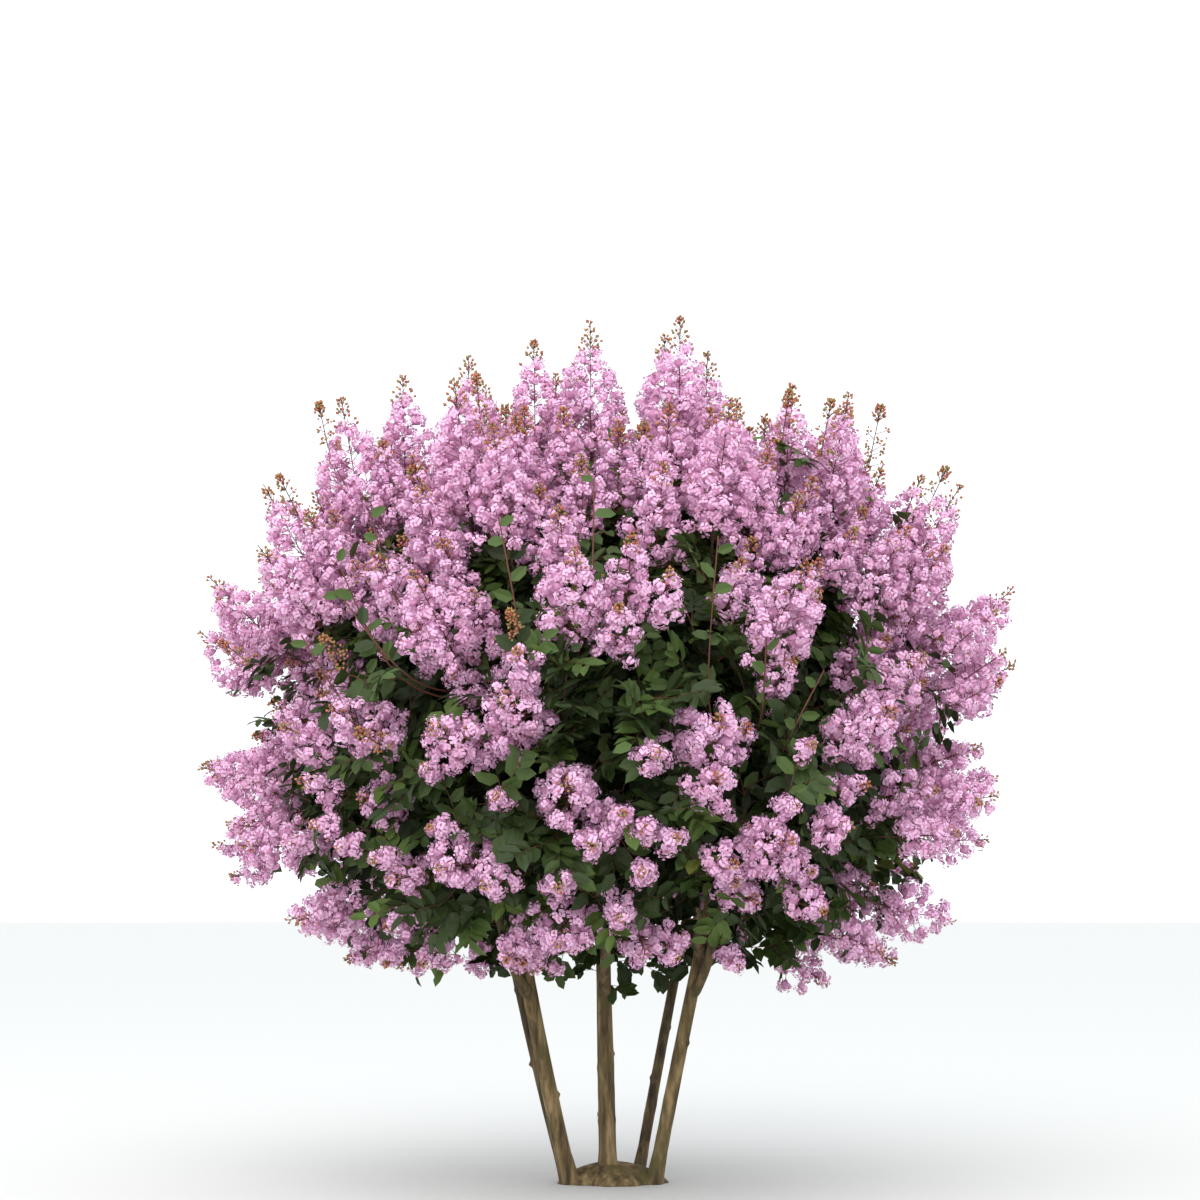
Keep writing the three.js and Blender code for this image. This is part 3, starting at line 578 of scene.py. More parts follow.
bough_curves = {}
for name, (stem_name, at, carries) in BOUGHS.items():
    stem = STEMS[stem_name]
    tangent = slope(stem["line"], at)[0]
    carried = [masses[carry] for carry in carries]
    end = sum(HUB + (mass["tip"] - HUB) * BOUGH_REACH for mass in carried) / len(carried)
    heading = unit(sum(unit(mass["tip"] - end) for mass in carried))
    start = bend(stem["line"], at)[0] + tangent * (SEAT_GAP if at == 1 else 0)
    away = end - start
    length = np.linalg.norm(away)
    sideways = unit(away - tangent * (away @ tangent))
    leaving = tangent if at == 1 else unit(sideways + tangent * BOUGH["along"])
    knee, shoulder = start + leaving * length * BOUGH["leaves"], end - heading * length * BOUGH["arrives"]
    curve = [start, knee, shoulder, end]
    base = between(stem["radius"], at) * BOUGH["of_stem_tip" if at == 1 else "of_stem_side"]
    base = min(BOUGH["thickest"], base)
    tip = min(BOUGH["tip_of_three" if len(carries) == 3 else "tip_of_two"], base * BOUGH["taper"])

    line = bend(curve, np.linspace(0, 1, BOUGH["rings"]))
    swell, over = COLLAR["swell"], COLLAR["over"]
    if at == 1:
        line[0] = line[0] - tangent * BOUGH["sunk"]
        swell, over = stem["radius"][1] / base - 1, COLLAR["over_at_tip"]
    out = lengths(line - line[0])
    radii = np.linspace(base, tip, BOUGH["rings"]) * (1 + swell * np.exp(-((out / over) ** 2)))
    bark = bark_limb(
        "bark_" + name, line, radii, BOUGH["sides"], default_rng(len(name) + 50), BOUGH["relief"],
        bough_bark_painted_shade,
    )
    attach(bark, "root")
    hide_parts(name)
    keep_clear_of(curve, base + CLEARANCE["limb"], name)
    bough_curves[name] = curve

    # The leading shoots start evenly round the bough's end, each as near its own side as can be.
    x = unit(np.array([heading[1], -heading[0], 0]))
    y = np.cross(heading, x)
    leaders = []
    for mass in carried:
        panicle = panicle_at(mass["way"], mass["reach"], 1)
        aside = panicle["base"] - end
        leaders.append((math.atan2(aside @ y, aside @ x), mass, panicle))
    leaders.sort(key=lambda leader: leader[0])
    step = 2 * math.pi / len(leaders)
    slip = sum(np.exp(1j * (angle - i * step)) for i, (angle, _, _) in enumerate(leaders))
    for i, (_, mass, panicle) in enumerate(leaders):
        angle = float(np.angle(slip)) + i * step
        start = end + heading * SEAT_GAP
        start = start + (x * math.cos(angle) + y * math.sin(angle)) * tip * LEADER["offset"]
        mass["leader"] = {
            "curve": shoot_curve(start, heading, stop_in(panicle), panicle["along"]),
            "steps": LEADER["steps"], "radius": LEADER["radius"], "panicle": panicle,
        }
        keep_clear_of(mass["leader"]["curve"], LEADER["radius"] + CLEARANCE["limb"], mass["name"])

# ------------------------ how the masses grow
# A mass is one leading shoot with side shoots at the golden angle round it, and each shoot ends in a flower
# panicle or in leaves. Finer twigs then fill the same sector by the same rule.

# Each pair is a least value, and how much a draw adds to it.
SIDE_SHOOT = {
    "from": (0.3, 0.44), "slip": 0.6, "spread": (0.9, 0.35), "depth": (0.88, 0.12), "panicle": (0.78, 0.22),
    "steps": 2, "radius": 0.0032, "leafy_past": 0.6,
}
SPRAY = {"length": 0.235, "size": (0.85, 0.25), "opening": 55}
# Where the sprays stand on a leader, on a shoot in leaf and on a shoot in bloom.
SPRAYS_AT = {"leader": (0.32, 0.5, 0.68), "leafy": (0.3, 0.45, 0.6, 0.75, 0.92), "blooming": (0.4, 0.62)}
# How often a place is tried for, and what changes each time: degrees round, and shares inwards and smaller.
TRIES = {"shoots": 6, "turn": 61, "pull": 0.09, "shrink": 0.05, "sprays": 5}
PANICLE_RINGS = np.array([[0, 0.65], [0.36, 1.09], [0.78, 0.61], [1.15, 0.02]])
SPRAY_RINGS = np.array([[0.25, 0.1], [0.5, 0.22], [0.75, 0.12], [1, 0.01]])
PRESS = 0.66


def seeded(state):
    """A repeatable row of numbers from 0 to 1: each is the last one times 1664525 plus 1013904223, kept to 32
    bits."""
    while True:
        state = (state * 1664525 + 1013904223) & 0xFFFFFFFF
        yield state / 4294967296


def rings_of(base, along, length, size, shares):
    """Rings that stand in for a panicle or a spray: each is centred at a share of its length."""
    at = base + along * (shares[:, :1] * length)
    return at, np.repeat(along[None], len(shares), 0), shares[:, 1] * size


def bloom_rings(panicle):
    """The rings that stand in for a panicle."""
    return rings_of(*(panicle[part] for part in ("base", "along", "length", "radius")), PANICLE_RINGS)


def stacked(rows):
    """Rows of arrays made one array for each column."""
    return [np.concatenate(part) for part in zip(*rows)]


def twig_rings(curve, steps, radius):
    """Rings along a twig's line, four for each of its steps."""
    shares = (np.arange(4 * steps) + 1) / (4 * steps)
    return bend(curve, shares), slope(curve, shares), np.full(len(shares), radius)


def clear_of_limbs(mass, at, radius):
    """Whether rings are clear of every stem, bough and other mass's leader: each limb is a row of straight
    spans, and a ring's distance to a span is to its nearest point."""
    for points, thick, whose in limb_lines:
        if whose == mass["name"]:
            continue
        start, span = points[:-1], np.diff(points, axis=0)
        share = ((at[:, None] - start) * span).sum(-1) / (span * span).sum(-1)
        near = start + span * np.clip(share, 0, 1)[..., None]
        if (lengths(at[:, None] - near).min(1) <= thick + radius).any():
            return False
    return True


def has_room(mass, filled, rings, press=1.0):
    """Whether rings lie in the mass's own space, clear of the limbs and of what fills it. Panicles may press
    into each other, to a share of their rings."""
    at, along, radius = rings
    if not in_own_space(mass, at, along, radius) or not clear_of_limbs(mass, at, radius):
        return False
    others, _, sizes = stacked(filled)
    return bool((lengths(at[:, None] - others) > (radius[:, None] + sizes) * press).all())


def on_twig(shoot, share):
    """A point of a shoot's straight steps, and the way it runs there."""
    step = min(int(share * shoot["steps"]), shoot["steps"] - 1)
    ends = bend(shoot["curve"], np.array([step, step + 1]) / shoot["steps"])
    along = ends[1] - ends[0]
    return ends[0] + along * (share * shoot["steps"] - step), unit(along)


def grow_mass(mass):
    """The shoots of one mass and the sprays on them, by the same draws as the solids'. A side shoot tries its
    own place first, then places further round and nearer to the leader, and is left out if none has room."""
    random = seeded(mass["number"] * 7919 + 11)
    leader, way, count = mass["leader"], mass["way"], mass["side_shoots"]
    leader["sprays"] = SPRAYS_AT["leader"]
    shoots = [leader]
    filled = [bloom_rings(leader["panicle"]), twig_rings(leader["curve"], leader["steps"], leader["radius"])]
    east = unit(np.array([-way[1], way[0], 0]))
    north = np.cross(way, east)

    def drawn(least, more):
        return least + more * next(random)

    for k in range(count):
        leafy = k >= count - mass["leafy"]
        first, run = SIDE_SHOOT["from"]
        root, tangent = on_twig(leader, first + run * (k + next(random) * SIDE_SHOOT["slip"]) / count)
        wide = mass["spread"] * drawn(*SIDE_SHOOT["spread"])
        depth = mass["reach"] * drawn(*SIDE_SHOOT["depth"])
        small = drawn(*SIDE_SHOOT["panicle"])
        for attempt in range(TRIES["shoots"]):
            angle = math.radians(mass["turn"] + k * GOLDEN_ANGLE + attempt * TRIES["turn"])
            off = math.tan(wide * (1 - TRIES["pull"] * attempt))
            aim = unit(way + (east * math.cos(angle) + north * math.sin(angle)) * off)
            panicle = panicle_at(aim, depth, small * (1 - TRIES["shrink"] * attempt))
            leaving = unit((unit(panicle["base"] - root) + tangent) / 2)
            past = panicle["length"] * (SIDE_SHOOT["leafy_past"] if leafy else SUNK)
            curve = shoot_curve(root, leaving, panicle["base"] + panicle["along"] * past, panicle["along"])
            twig = twig_rings(curve, SIDE_SHOOT["steps"], SIDE_SHOOT["radius"])
            bloom = [] if leafy else [bloom_rings(panicle)]
            if not has_room(mass, filled, tuple(part[2:] for part in twig)):
                continue
            if not all(has_room(mass, filled, rings, PRESS) for rings in bloom):
                continue
            filled += [twig, *bloom]
            shoots.append({
                "curve": curve, "steps": SIDE_SHOOT["steps"], "radius": SIDE_SHOOT["radius"],
                "panicle": None if leafy else panicle, "sprays": SPRAYS_AT["leafy" if leafy else "blooming"],
            })
            break
    mass["shoots"], mass["spray_places"] = shoots, []
    opening = math.radians(SPRAY["opening"])
    for shoot in shoots:
        for share in shoot["sprays"]:
            root, tangent = on_twig(shoot, share)
            spin = next(random) * 360
            length = SPRAY["length"] * drawn(*SPRAY["size"])
            x = unit(np.array([tangent[1], -tangent[0], 0]))
            y = np.cross(tangent, x)
            for attempt in range(TRIES["sprays"]):
                angle = math.radians(spin + attempt * 360 / TRIES["sprays"])
                along = tangent * math.cos(opening)
                along = along + (x * math.cos(angle) + y * math.sin(angle)) * math.sin(opening)
                rings = rings_of(root, along, length, length, SPRAY_RINGS)
                if has_room(mass, filled, rings):
                    filled.append(rings)
                    mass["spray_places"].append((root, along, length))
                    break


for mass in masses.values():
    grow_mass(mass)

# ------------------------ finer shoots between the others
# Finer shoots grow to places spread evenly over the crown, each from the mass whose own way is nearest: small
# panicles where one has room, and leafy shoots elsewhere, which fill the crown's inside as well.

FINE = {"blooms": 460, "leafy": 1050, "lowest": -0.72, "highest": 0.985, "radius": 0.0022}
FINE_BLOOM = {
    "panicle": (0.5, 0.82), "in_green": 0.76, "depth": (0.78, 0.92), "press": 0.65, "green_press": 0.85,
}
FINE_LEAFY = {
    "lift": 0.06, "depth": (0.45, 0.82), "green_depth": (0.5, 0.94), "clear": 0.8, "pull": 0.93, "hem": 0.74,
    "deep": 0.8,
}
BLOOMING = {0: 1.0, 1: 0.62, 2: 0.5, 3: 0.45}  # the share of places that may bloom, by mass["leafy"]
FRONT = {"leader": 0.93, "side": 0.79, "loose": 1.6}

# Small panicles that stand apart in the green of the front and along the crown's lower edge, and some that
# are still in bud: bearing, pitch, reach and size.
APART = [
    (-105, -15, 0.95, 0.33), (-92, -21, 0.98, 0.49), (-88, -17, 0.97, 0.36), (-85, -19, 0.97, 0.36),
    (-81, -20, 0.98, 0.44), (-85, -25, 0.97, 0.37), (-88, -32, 0.98, 0.57), (-97, -27, 0.98, 0.53),
    (-108, -40, 1.0, 0.65), (-77, -41, 0.98, 0.59), (-60, -46, 0.97, 0.35), (-56, -30, 1.0, 0.6),
    (-128, -42, 1.0, 0.61), (-129, -34, 0.98, 0.45), (-64, -16, 0.96, 0.31), (-63, -21, 0.96, 0.32),
    (-115, -11, 0.95, 0.28), (-115, -19, 0.95, 0.34), (-82, 13, 0.98, 0.61), (-101, 3, 1.0, 0.58),
    (-112, -6, 1.0, 0.74), (-76, -12, 1.0, 0.68), (-56, -18, 0.99, 0.6), (-10, -41, 1.02, 0.68),
    (-28, -14, 1.0, 0.52), (-26, 2, 1.02, 0.53), (-26, 11, 1.02, 0.6), (-62, -8, 0.96, 0.25),
    (-153, -20, 1.0, 0.76), (-143, -21, 0.96, 0.28), (-135, -12, 0.98, 0.53), (-135, -18, 0.97, 0.32),
    (-131, -21, 0.97, 0.3), (-125, -23, 0.97, 0.32), (-145, -31, 1.02, 0.6), (-150, -41, 1.0, 0.6),
    (-138, -42, 1.0, 0.32), (-107, -26, 1.0, 0.61), (-136, -5, 1.0, 0.62), (-73, -23, 1.0, 0.52),
    (-84, -9, 1.0, 0.49), (180, -19, 1.02, 0.7), (-176, -24, 1.01, 0.5),
]
IN_BUD = [
    (-123, -6, 1.0, 0.43), (-129, 6, 1.0, 0.37), (-152, 7, 1.02, 0.34), (-27, 43, 1.04, 0.5),
    (-26, 31, 1.04, 0.48), (-47, 41, 1.03, 0.43), (-56, 42, 1.03, 0.4), (-156, 43, 1.07, 0.37),
    (-147, 29, 1.03, 0.37), (-115, 45, 1.03, 0.4), (-102, 8, 1.0, 0.28),
]
APART_PRESS = 0.42
GOLDEN = math.radians(GOLDEN_ANGLE)


def frame_round(axes):
    """Two unit vectors square to each axis and to each other."""
    fixed = np.where(np.abs(axes[..., 2:]) < 0.9, [0.0, 0.0, 1.0], [1.0, 0.0, 0.0])
    first = unit(np.cross(fixed, axes))
    return first, np.cross(axes, first)


def spiral(count, lowest):
    """Ways spread evenly over the crown: each is a golden angle on from the last and one even step higher."""
    rise = lowest + (FINE["highest"] - lowest) * (np.arange(count) + 0.5) / count
    level, spin = np.sqrt(1 - rise**2), np.arange(count) * GOLDEN
    return np.stack([level * np.cos(spin), level * np.sin(spin), rise], axis=1)


def mass_towards(aim):
    """The mass whose own way is nearest to an aim."""
    return list(masses.values())[int(np.argmax(ways @ aim))]


# The panicles of the front, where the leaves are thickest, and of the hem are smaller and looser than the
# rest, and those of the side shoots the more so.
for mass in masses.values():
    if mass["tier"] == "hem" or (mass["way"][1] < -0.55 and mass["tier"] not in ("crest", "upper")):
        for k, panicle in enumerate([shoot["panicle"] for shoot in mass["shoots"] if shoot["panicle"]]):
            part = FRONT["side" if k else "leader"]
            panicle["base"] = panicle["base"] + panicle["along"] * panicle["length"] * (1 - part) / 2
            panicle["length"] *= part
            panicle["radius"] *= part
            panicle["loose"] = FRONT["loose"]

shoots = [shoot for mass in masses.values() for shoot in mass["shoots"]]
at, _, size = stacked([bloom_rings(shoot["panicle"]) for shoot in shoots if shoot["panicle"]])
taken = {"at": at, "size": size}  # the rings of all the panicles


def samples_of(shoot, first):
    """Twelve rows of a point along a shoot, from a first share of it on, and the way that it runs there."""
    shares = np.linspace(first, 0.92, 12)
    return np.hstack([bend(shoot["curve"], shares), slope(shoot["curve"], shares)])


def root_for(places, target, way):
    """The place that a finer shoot leaves from, and the way that its bearer runs there: the one from which
    the target lies nearest, where it counts as farther the more the shoot would have to turn back."""
    away = target - places[:, :3]
    far = lengths(away)
    turn = (away @ way) / np.maximum(far, 1e-6)
    best = int(np.argmin(far * (1.9 - turn) + 0.5 * (far < 0.07)))
    return places[best, :3], places[best, 3:]


def add_shoot(mass, curve, radius=FINE["radius"], panicle=None, **more):
    """One finer shoot, put down with those of its mass."""
    mass["shoots"].append({"curve": curve, "radius": radius, "panicle": panicle, "fine": True, **more})


def add_fine(mass, aim, stop, along, **more):
    """A finer shoot of a mass, from its nearest place to a stop, where it arrives along its way of growth."""
    root, tangent = root_for(mass["places"], stop, aim)
    add_shoot(mass, shoot_curve(root, unit(unit(stop - root) + 0.9 * tangent), stop, along), **more)
    mass["places"] = np.vstack([mass["places"], samples_of(mass["shoots"][-1], 0.25)])


def add_bloom(mass, aim, panicle, press):
    """A finer shoot that ends in a panicle, if that presses into no other by more than a share of both."""
    at, _, size = bloom_rings(panicle)
    if (lengths(at[:, None] - taken["at"]) > (size[:, None] + taken["size"]) * press).all():
        taken.update(at=np.vstack([taken["at"], at]), size=np.concatenate([taken["size"], size]))
        add_fine(mass, aim, stop_in(panicle), panicle["along"], panicle=panicle)


for mass in masses.values():
    shoots = enumerate(mass["shoots"])
    mass["places"] = np.vstack([samples_of(shoot, 0.2 if i else 0.3) for i, shoot in shoots])
for row in APART + IN_BUD:
    aim = pointing(*row[:2])
    panicle = panicle_at(aim, *row[2:])
    panicle.update(loose=FRONT["loose"], bud=row in IN_BUD)
    add_bloom(mass_towards(aim), aim, panicle, APART_PRESS)

draw = default_rng(100)
for aim in spiral(FINE["blooms"], FINE["lowest"]):
    mass = mass_towards(aim)
    green = mass["leafy"] > 1
    depth = draw.uniform(*FINE_BLOOM["depth"])
    small = draw.uniform(*FINE_BLOOM["panicle"]) * (FINE_BLOOM["in_green"] if green else 1)
    open_side = aim[1] < -0.3 and aim[2] < -0.1
    if draw.uniform() > BLOOMING[mass["leafy"]] or open_side or (mass["leafy"] and mass["way"][1] < -0.3):
        continue
    panicle = panicle_at(aim, depth, small)
    # Marked deep: most of these panicles get a step deeper pink later, as painted shade.
    panicle["deep"] = True
    add_bloom(mass, aim, panicle, FINE_BLOOM["green_press" if green else "press"])
for aim in spiral(FINE["leafy"], FINE["lowest"] + FINE_LEAFY["lift"]):
    mass = mass_towards(aim)
    depth = draw.uniform(*FINE_LEAFY["green_depth" if mass["leafy"] > 1 else "depth"])
    for _ in range(3):
        stop = on_outline(aim, depth)
        if (lengths(stop - taken["at"]) > taken["size"] * FINE_LEAFY["clear"]).all():
            break
        depth *= FINE_LEAFY["pull"]
    if stop[2] >= FINE_LEAFY["hem"]:
        # A shoot that stops deep inside is marked so, and its leaves get darker greens as painted shade.
        add_fine(mass, aim, stop, growth_at(aim), deep=depth < FINE_LEAFY["deep"])

# Long bare-footed stalks rise before the gaps of the front: bearing and pitch of their lower and upper ends.
STALKS = [
    (-92, 16, -92, 29), (-103, 10, -106, 23), (-126, 5, -132, 17), (-123, 12, -129, 25), (-76, -1, -74, 20),
    (-67, -4, -68, 6), (-62, -6, -59, 2), (-133, -2, -139, 8), (-124, 4, -131, 13), (-96, -1, -95, 3),
]
for row in STALKS:
    low, high = on_outline(pointing(*row[:2]), 0.88), on_outline(pointing(*row[2:]), 0.93)
    mass = mass_towards(unit(high - [0, 0, CROWN["middle"]]))
    root = root_for(mass["places"], low - (high - low) * 0.6 + [0, 0.12, 0], pointing(*row[2:]))[0]
    line = np.array([root, low - (high - low) * 0.5, low, high])
    add_shoot(mass, line, 0.0040, leaf=0.085, side=0, stalk=True)

# Short leafy shoots clothe the boughs inside the crown, and a few sprout low on the stems.
INNER = {"each": 12, "first": 0.3, "last": 0.97, "length": (0.25, 0.5), "lowest": 0.84}
for name, (stem_name, at, carries) in BOUGHS.items():
    draw = default_rng(len(name) * 31 + len(carries))
    curve = bough_curves[name]
    for k in range(INNER["each"]):
        share = INNER["first"] + (INNER["last"] - INNER["first"]) * (k + draw.uniform(0, 1)) / INNER["each"]
        root, tangent = bend(curve, share)[0], slope(curve, share)[0]
        out = unit(root - HUB + [0, 0, 0.2])
        first, second = frame_round(tangent)
        spin = k * GOLDEN + draw.uniform(0, 1)
        leaving = unit(first * math.cos(spin) + second * math.sin(spin) + 0.5 * tangent + 0.7 * out)
        stop = root + leaving * draw.uniform(*INNER["length"]) + [0, 0, 0.04]
        stop[2] = max(stop[2], INNER["lowest"])
        line = shoot_curve(root, leaving, stop, unit(leaving + [0, 0, 0.5]))
        add_shoot(masses[carries[k % len(carries)]], line)

SPRIGS = [  # stem, share of its length, bearing and length
    ("stem_centre", 0.66, 170, 0.13), ("stem_centre", 0.62, -30, 0.09), ("stem_centre", 0.74, -70, 0.10),
    ("stem_centre", 0.78, -150, 0.14), ("stem_centre", 0.76, 10, 0.14), ("stem_right", 0.72, 175, 0.07),
    ("stem_centre", 0.68, -10, 0.2), ("stem_centre", 0.72, 185, 0.16), ("stem_left", 0.78, 10, 0.1),
    ("stem_right_slim", 0.76, 200, 0.08), ("stem_left", 0.8, -40, 0.10), ("stem_left", 0.82, -160, 0.12),
    ("stem_right", 0.8, -20, 0.09),
]
for name, share, bearing, length in SPRIGS:
    root, stop = bend(STEMS[name]["line"], share)[0], pointing(bearing, -5) * length
    line = shoot_curve(root, pointing(bearing, 35), root + stop, pointing(bearing, -35))
    add_shoot(masses["hem_front"], line, 0.0016, leaf=0.052, side=0.06)

# ------------------------ panicles
# A crape myrtle's panicle is a cone of short branchlets round a stalk. Each branchlet ends in a cluster of
# crinkled flowers and round buds, and the stalk's tip carries buds alone.

PROFILE = np.array([[0, 0.6], [0.12, 0.85], [0.36, 1.04], [0.6, 0.84], [0.8, 0.63], [1.0, 0.26]])
CLUSTER = {"area": 0.0062, "radius": 0.036, "flowers": 11.3, "flower": 0.0151, "core": 0.76, "dome": 1.62}
# The domes of buds alone, and of the buds among flowers: size of the cluster's, and how far round they go.
BUD_DOME = {"closed": (0.5, 1.6), "open": (1.04, 1.3)}
# How often a bud is rust, rose, green and gold: on a panicle in bud, among flowers and on a spike.
BUD_SHARES = {
    "closed": [0.35, 0.05, 0.25, 0.35], "open": [0.4, 0.35, 0.1, 0.15], "spike": [0.4, 0.05, 0.2, 0.35],
}
BUD_SIZE = {"closed": (0.0052, 0.0076), "open": (0.0046, 0.0062), "spike": (0.0052, 0.0072)}
STALK = {"bud": 0.0009, "spike": 0.0013, "cluster": 0.0016, "panicle": 0.0026}


def clusters_of(panicle, draw):
    """The flower clusters of one panicle: they stand at the golden angle round the stalk, evenly over the
    cone's surface, and each faces outwards and, towards the tip, upwards."""
    base, along, length, radius = (panicle[part] for part in ("base", "along", "length", "radius"))
    shares = np.linspace(0.02, 0.97, 60)
    width = np.interp(shares, PROFILE[:, 0], PROFILE[:, 1])
    area = 2 * math.pi * radius * length * width.mean()
    count = max(7, round(area / CLUSTER["area"]))
    sum_of = np.cumsum(width) / width.sum()
    at = np.interp((np.arange(count) + draw.uniform(0.2, 0.8, count)) / count, sum_of, shares)
    size = CLUSTER["radius"] * (radius / 0.13) ** 0.35 * draw.uniform(0.78, 1.2, count) * (1.1 - 0.4 * at)
    spin = np.arange(count) * GOLDEN + draw.uniform(-0.35, 0.35, count) + draw.uniform(0, 6)
    loose, lobe = panicle.get("loose", 1), draw.uniform(0, 6.3, 2)
    swell = 1 + loose * (0.13 * np.cos(spin - lobe[0]) + 0.11 * np.cos(2 * spin + 7 * at - lobe[1]))
    first, second = frame_round(along)
    radial = spoke(first, second, spin)
    off = np.interp(at, PROFILE[:, 0], PROFILE[:, 1]) * radius * swell * draw.uniform(0.86, 1.1, count)
    off = np.maximum(off - size, 0.1 * size)
    middle = base + along * (at * length)[:, None] + radial * off[:, None]
    facing = unit(radial + along * (at * 1.3 - 0.12)[:, None])
    stalk = base + along * ((at * length - 0.55 * off).clip(0.005))[:, None]
    # A few branchlets at the foot of the cone stand out from it, each with a small cluster of its own.
    few = max(2, count // 9)
    radial = spoke(first, second, draw.uniform(0, 6.3, few))
    low = base + along * (draw.uniform(-0.06, 0.12, (few, 1)) * length)
    apart = low + radial * (radius * draw.uniform(1.0, 1.3, few) - 0.02)[:, None]
    parts = {
        "middle": np.vstack([middle, apart]), "facing": np.vstack([facing, unit(radial + 0.5 * along)]),
        "size": np.concatenate([size, draw.uniform(0.018, 0.026, few)]),
        "stalk": np.vstack([stalk, low - along * 0.02]), "share": np.append(at, np.zeros(few)),
    }
    # Those that would face the tree's shaded inside don't open.
    open_ones = (parts["facing"] * unit(parts["middle"] - [0, 0, 1.4])).sum(1) > -0.32
    return [values[open_ones] for values in parts.values()]


def on_domes(middle, facing, size, counts, draw, spread):
    """Places on the domes of clusters: a sunflower spiral from each dome's top out to an angle of spread.
    Returns the places, the way that each faces and its cluster."""
    which = np.repeat(np.arange(len(counts)), counts)
    order = np.concatenate([np.arange(count) for count in counts])
    tilt = np.arccos(1 - (1 - math.cos(spread)) * (order + 0.5) / counts[which])
    spin = order * GOLDEN + draw.uniform(0, 6.3, len(counts))[which]
    way = facing[which] * np.cos(tilt)[:, None]
    way = way + spoke(*frame_round(facing[which]), spin) * np.sin(tilt)[:, None]
    way = unit(way + draw.normal(0, 0.1, way.shape))
    return middle[which] + way * (size[which] * draw.uniform(0.82, 1.1, len(which)))[:, None], way, which


def flower_of(draw):
    """One crinkled flower about +Z. Each petal is a bent kite of two triangles from its claw to its tip: four
    spread outwards, and two stand up in the middle, as crepe petals curl over it. Light soaks through so thin
    a petal, so that its corners are shaded as facing partly its own way and partly up."""
    turn = np.append(np.arange(4) * math.pi / 2, [0.6, 3.7]) + draw.uniform(-0.35, 0.35, 6)
    rise = np.append(draw.uniform(-0.25, 0.3, 4), draw.uniform(0.3, 0.7, 2))
    long = np.append(draw.uniform(0.9, 1.1, 4), draw.uniform(0.6, 0.8, 2))
    way = np.stack([np.cos(rise) * np.cos(turn), np.cos(rise) * np.sin(turn), np.sin(rise)], axis=1)
    side, up = frame_round(way)
    side = unit(side + up * draw.uniform(-0.5, 0.5, (6, 1)))
    up = np.cross(way, side)
    half = draw.uniform(0.4, 0.56, (6, 2, 1))
    bend_up = draw.uniform(-0.16, 0.16, (6, 3, 1))
    flip = np.where(up[:, 2:] < 0, -1, 1)
    side, up = side * flip, up * flip
    rows = np.stack([
        way * 0.12,
        way * 0.62 - side * half[:, 0] + up * bend_up[:, 0],
        way * long[:, None] + side * draw.uniform(-0.12, 0.12, (6, 1)) + up * bend_up[:, 1],
        way * 0.66 + side * half[:, 1] + up * bend_up[:, 2],
    ], axis=1)
    rows = rows + np.append(np.zeros(4), [0.2, 0.2])[:, None, None] * [0, 0, 1.0]
    lean = unit(0.6 * up[:, None] + 0.35 * rows + [0, 0, 0.8])
    return rows.reshape(24, 3) * [1, 1, 0.85], lean.reshape(24, 3)


def copies(shapes, axes, size, at):
    """The corners of copies of shapes, (n, corners, 3): each is turned to its own three axes, sized and moved
    to its place."""
    turned = np.einsum("nki,nij->nkj", shapes, np.stack(axes, axis=1))
    return (turned * size[:, None, None] + at[:, None]).reshape(-1, 3)


def axes_at(axis, spin):
    """Three axes of which the last is given, and the first stands at a spin round it."""
    first, second = frame_round(axis)
    return spoke(first, second, spin), spoke(second, -first, spin), axis


def faces_of(shape, corners, count):
    """The faces of copies of a shape: each copy counts on from the corners of those before it."""
    return (shape[None] + corners * np.arange(count)[:, None, None]).reshape(-1, 3)


FLOWER_FACES = np.vstack([np.array([[0, 1, 2], [0, 2, 3]]) + 4 * k for k in range(6)])
BUD = np.array([
    [0, 0, -1.0], [0.87, 0, -0.1], [0, 0.87, -0.1], [-0.87, 0, -0.1], [0, -0.87, -0.1], [0, 0, 1.15],
])
BUD_FACES = np.array([[0, 2, 1], [0, 3, 2], [0, 4, 3], [0, 1, 4], [5, 1, 2], [5, 2, 3], [5, 3, 4], [5, 4, 1]])

draw = default_rng(7)
flower_shapes, flower_leans = (np.stack(part) for part in zip(*[flower_of(draw) for _ in range(8)]))

PETAL = {"roughness": 0.9, "Specular_IOR_Level": 0.15}
petal_pinks = [
    finish("petal " + name, tone(*colour), **PETAL) for name, colour in {
        "pale pink": (233, 190, 220), "pink": (232, 186, 217), "clear pink": (231, 182, 214),
        "warm pink": (232, 182, 213), "rose pink": (231, 177, 210), "lilac pink": (226, 180, 216),
    }.items()
]
bud_finishes = [
    finish("bud " + name, tone(*colour), 0.6) for name, colour in {
        "rust": (164, 96, 64), "rose": (196, 112, 120), "green": (140, 126, 68), "gold": (170, 122, 74),
    }.items()
]
# A cluster's core, in a bud's shape, fills the middle between its flowers; its pink, a little deeper than the
# petals', is painted shade.
CORE = len(bud_finishes)
bud_finishes.append(finish("petal shade", tone(225, 166, 203), **PETAL))

# Each cluster's petals are of its own few shades.
PETAL_SHADES = np.array([[0, 0, 1, 1], [0, 1, 2, 5], [1, 2, 2, 3], [2, 3, 5, 4], [3, 4, 4, 2]])


def buds_at(at, way, kind, draw, larger=1):
    """Buds at places: where each is and faces, its colour and its size."""
    shade = draw.choice(4, p=BUD_SHARES[kind], size=len(at))
    return at, way, shade, draw.uniform(*BUD_SIZE[kind], len(at)) * larger


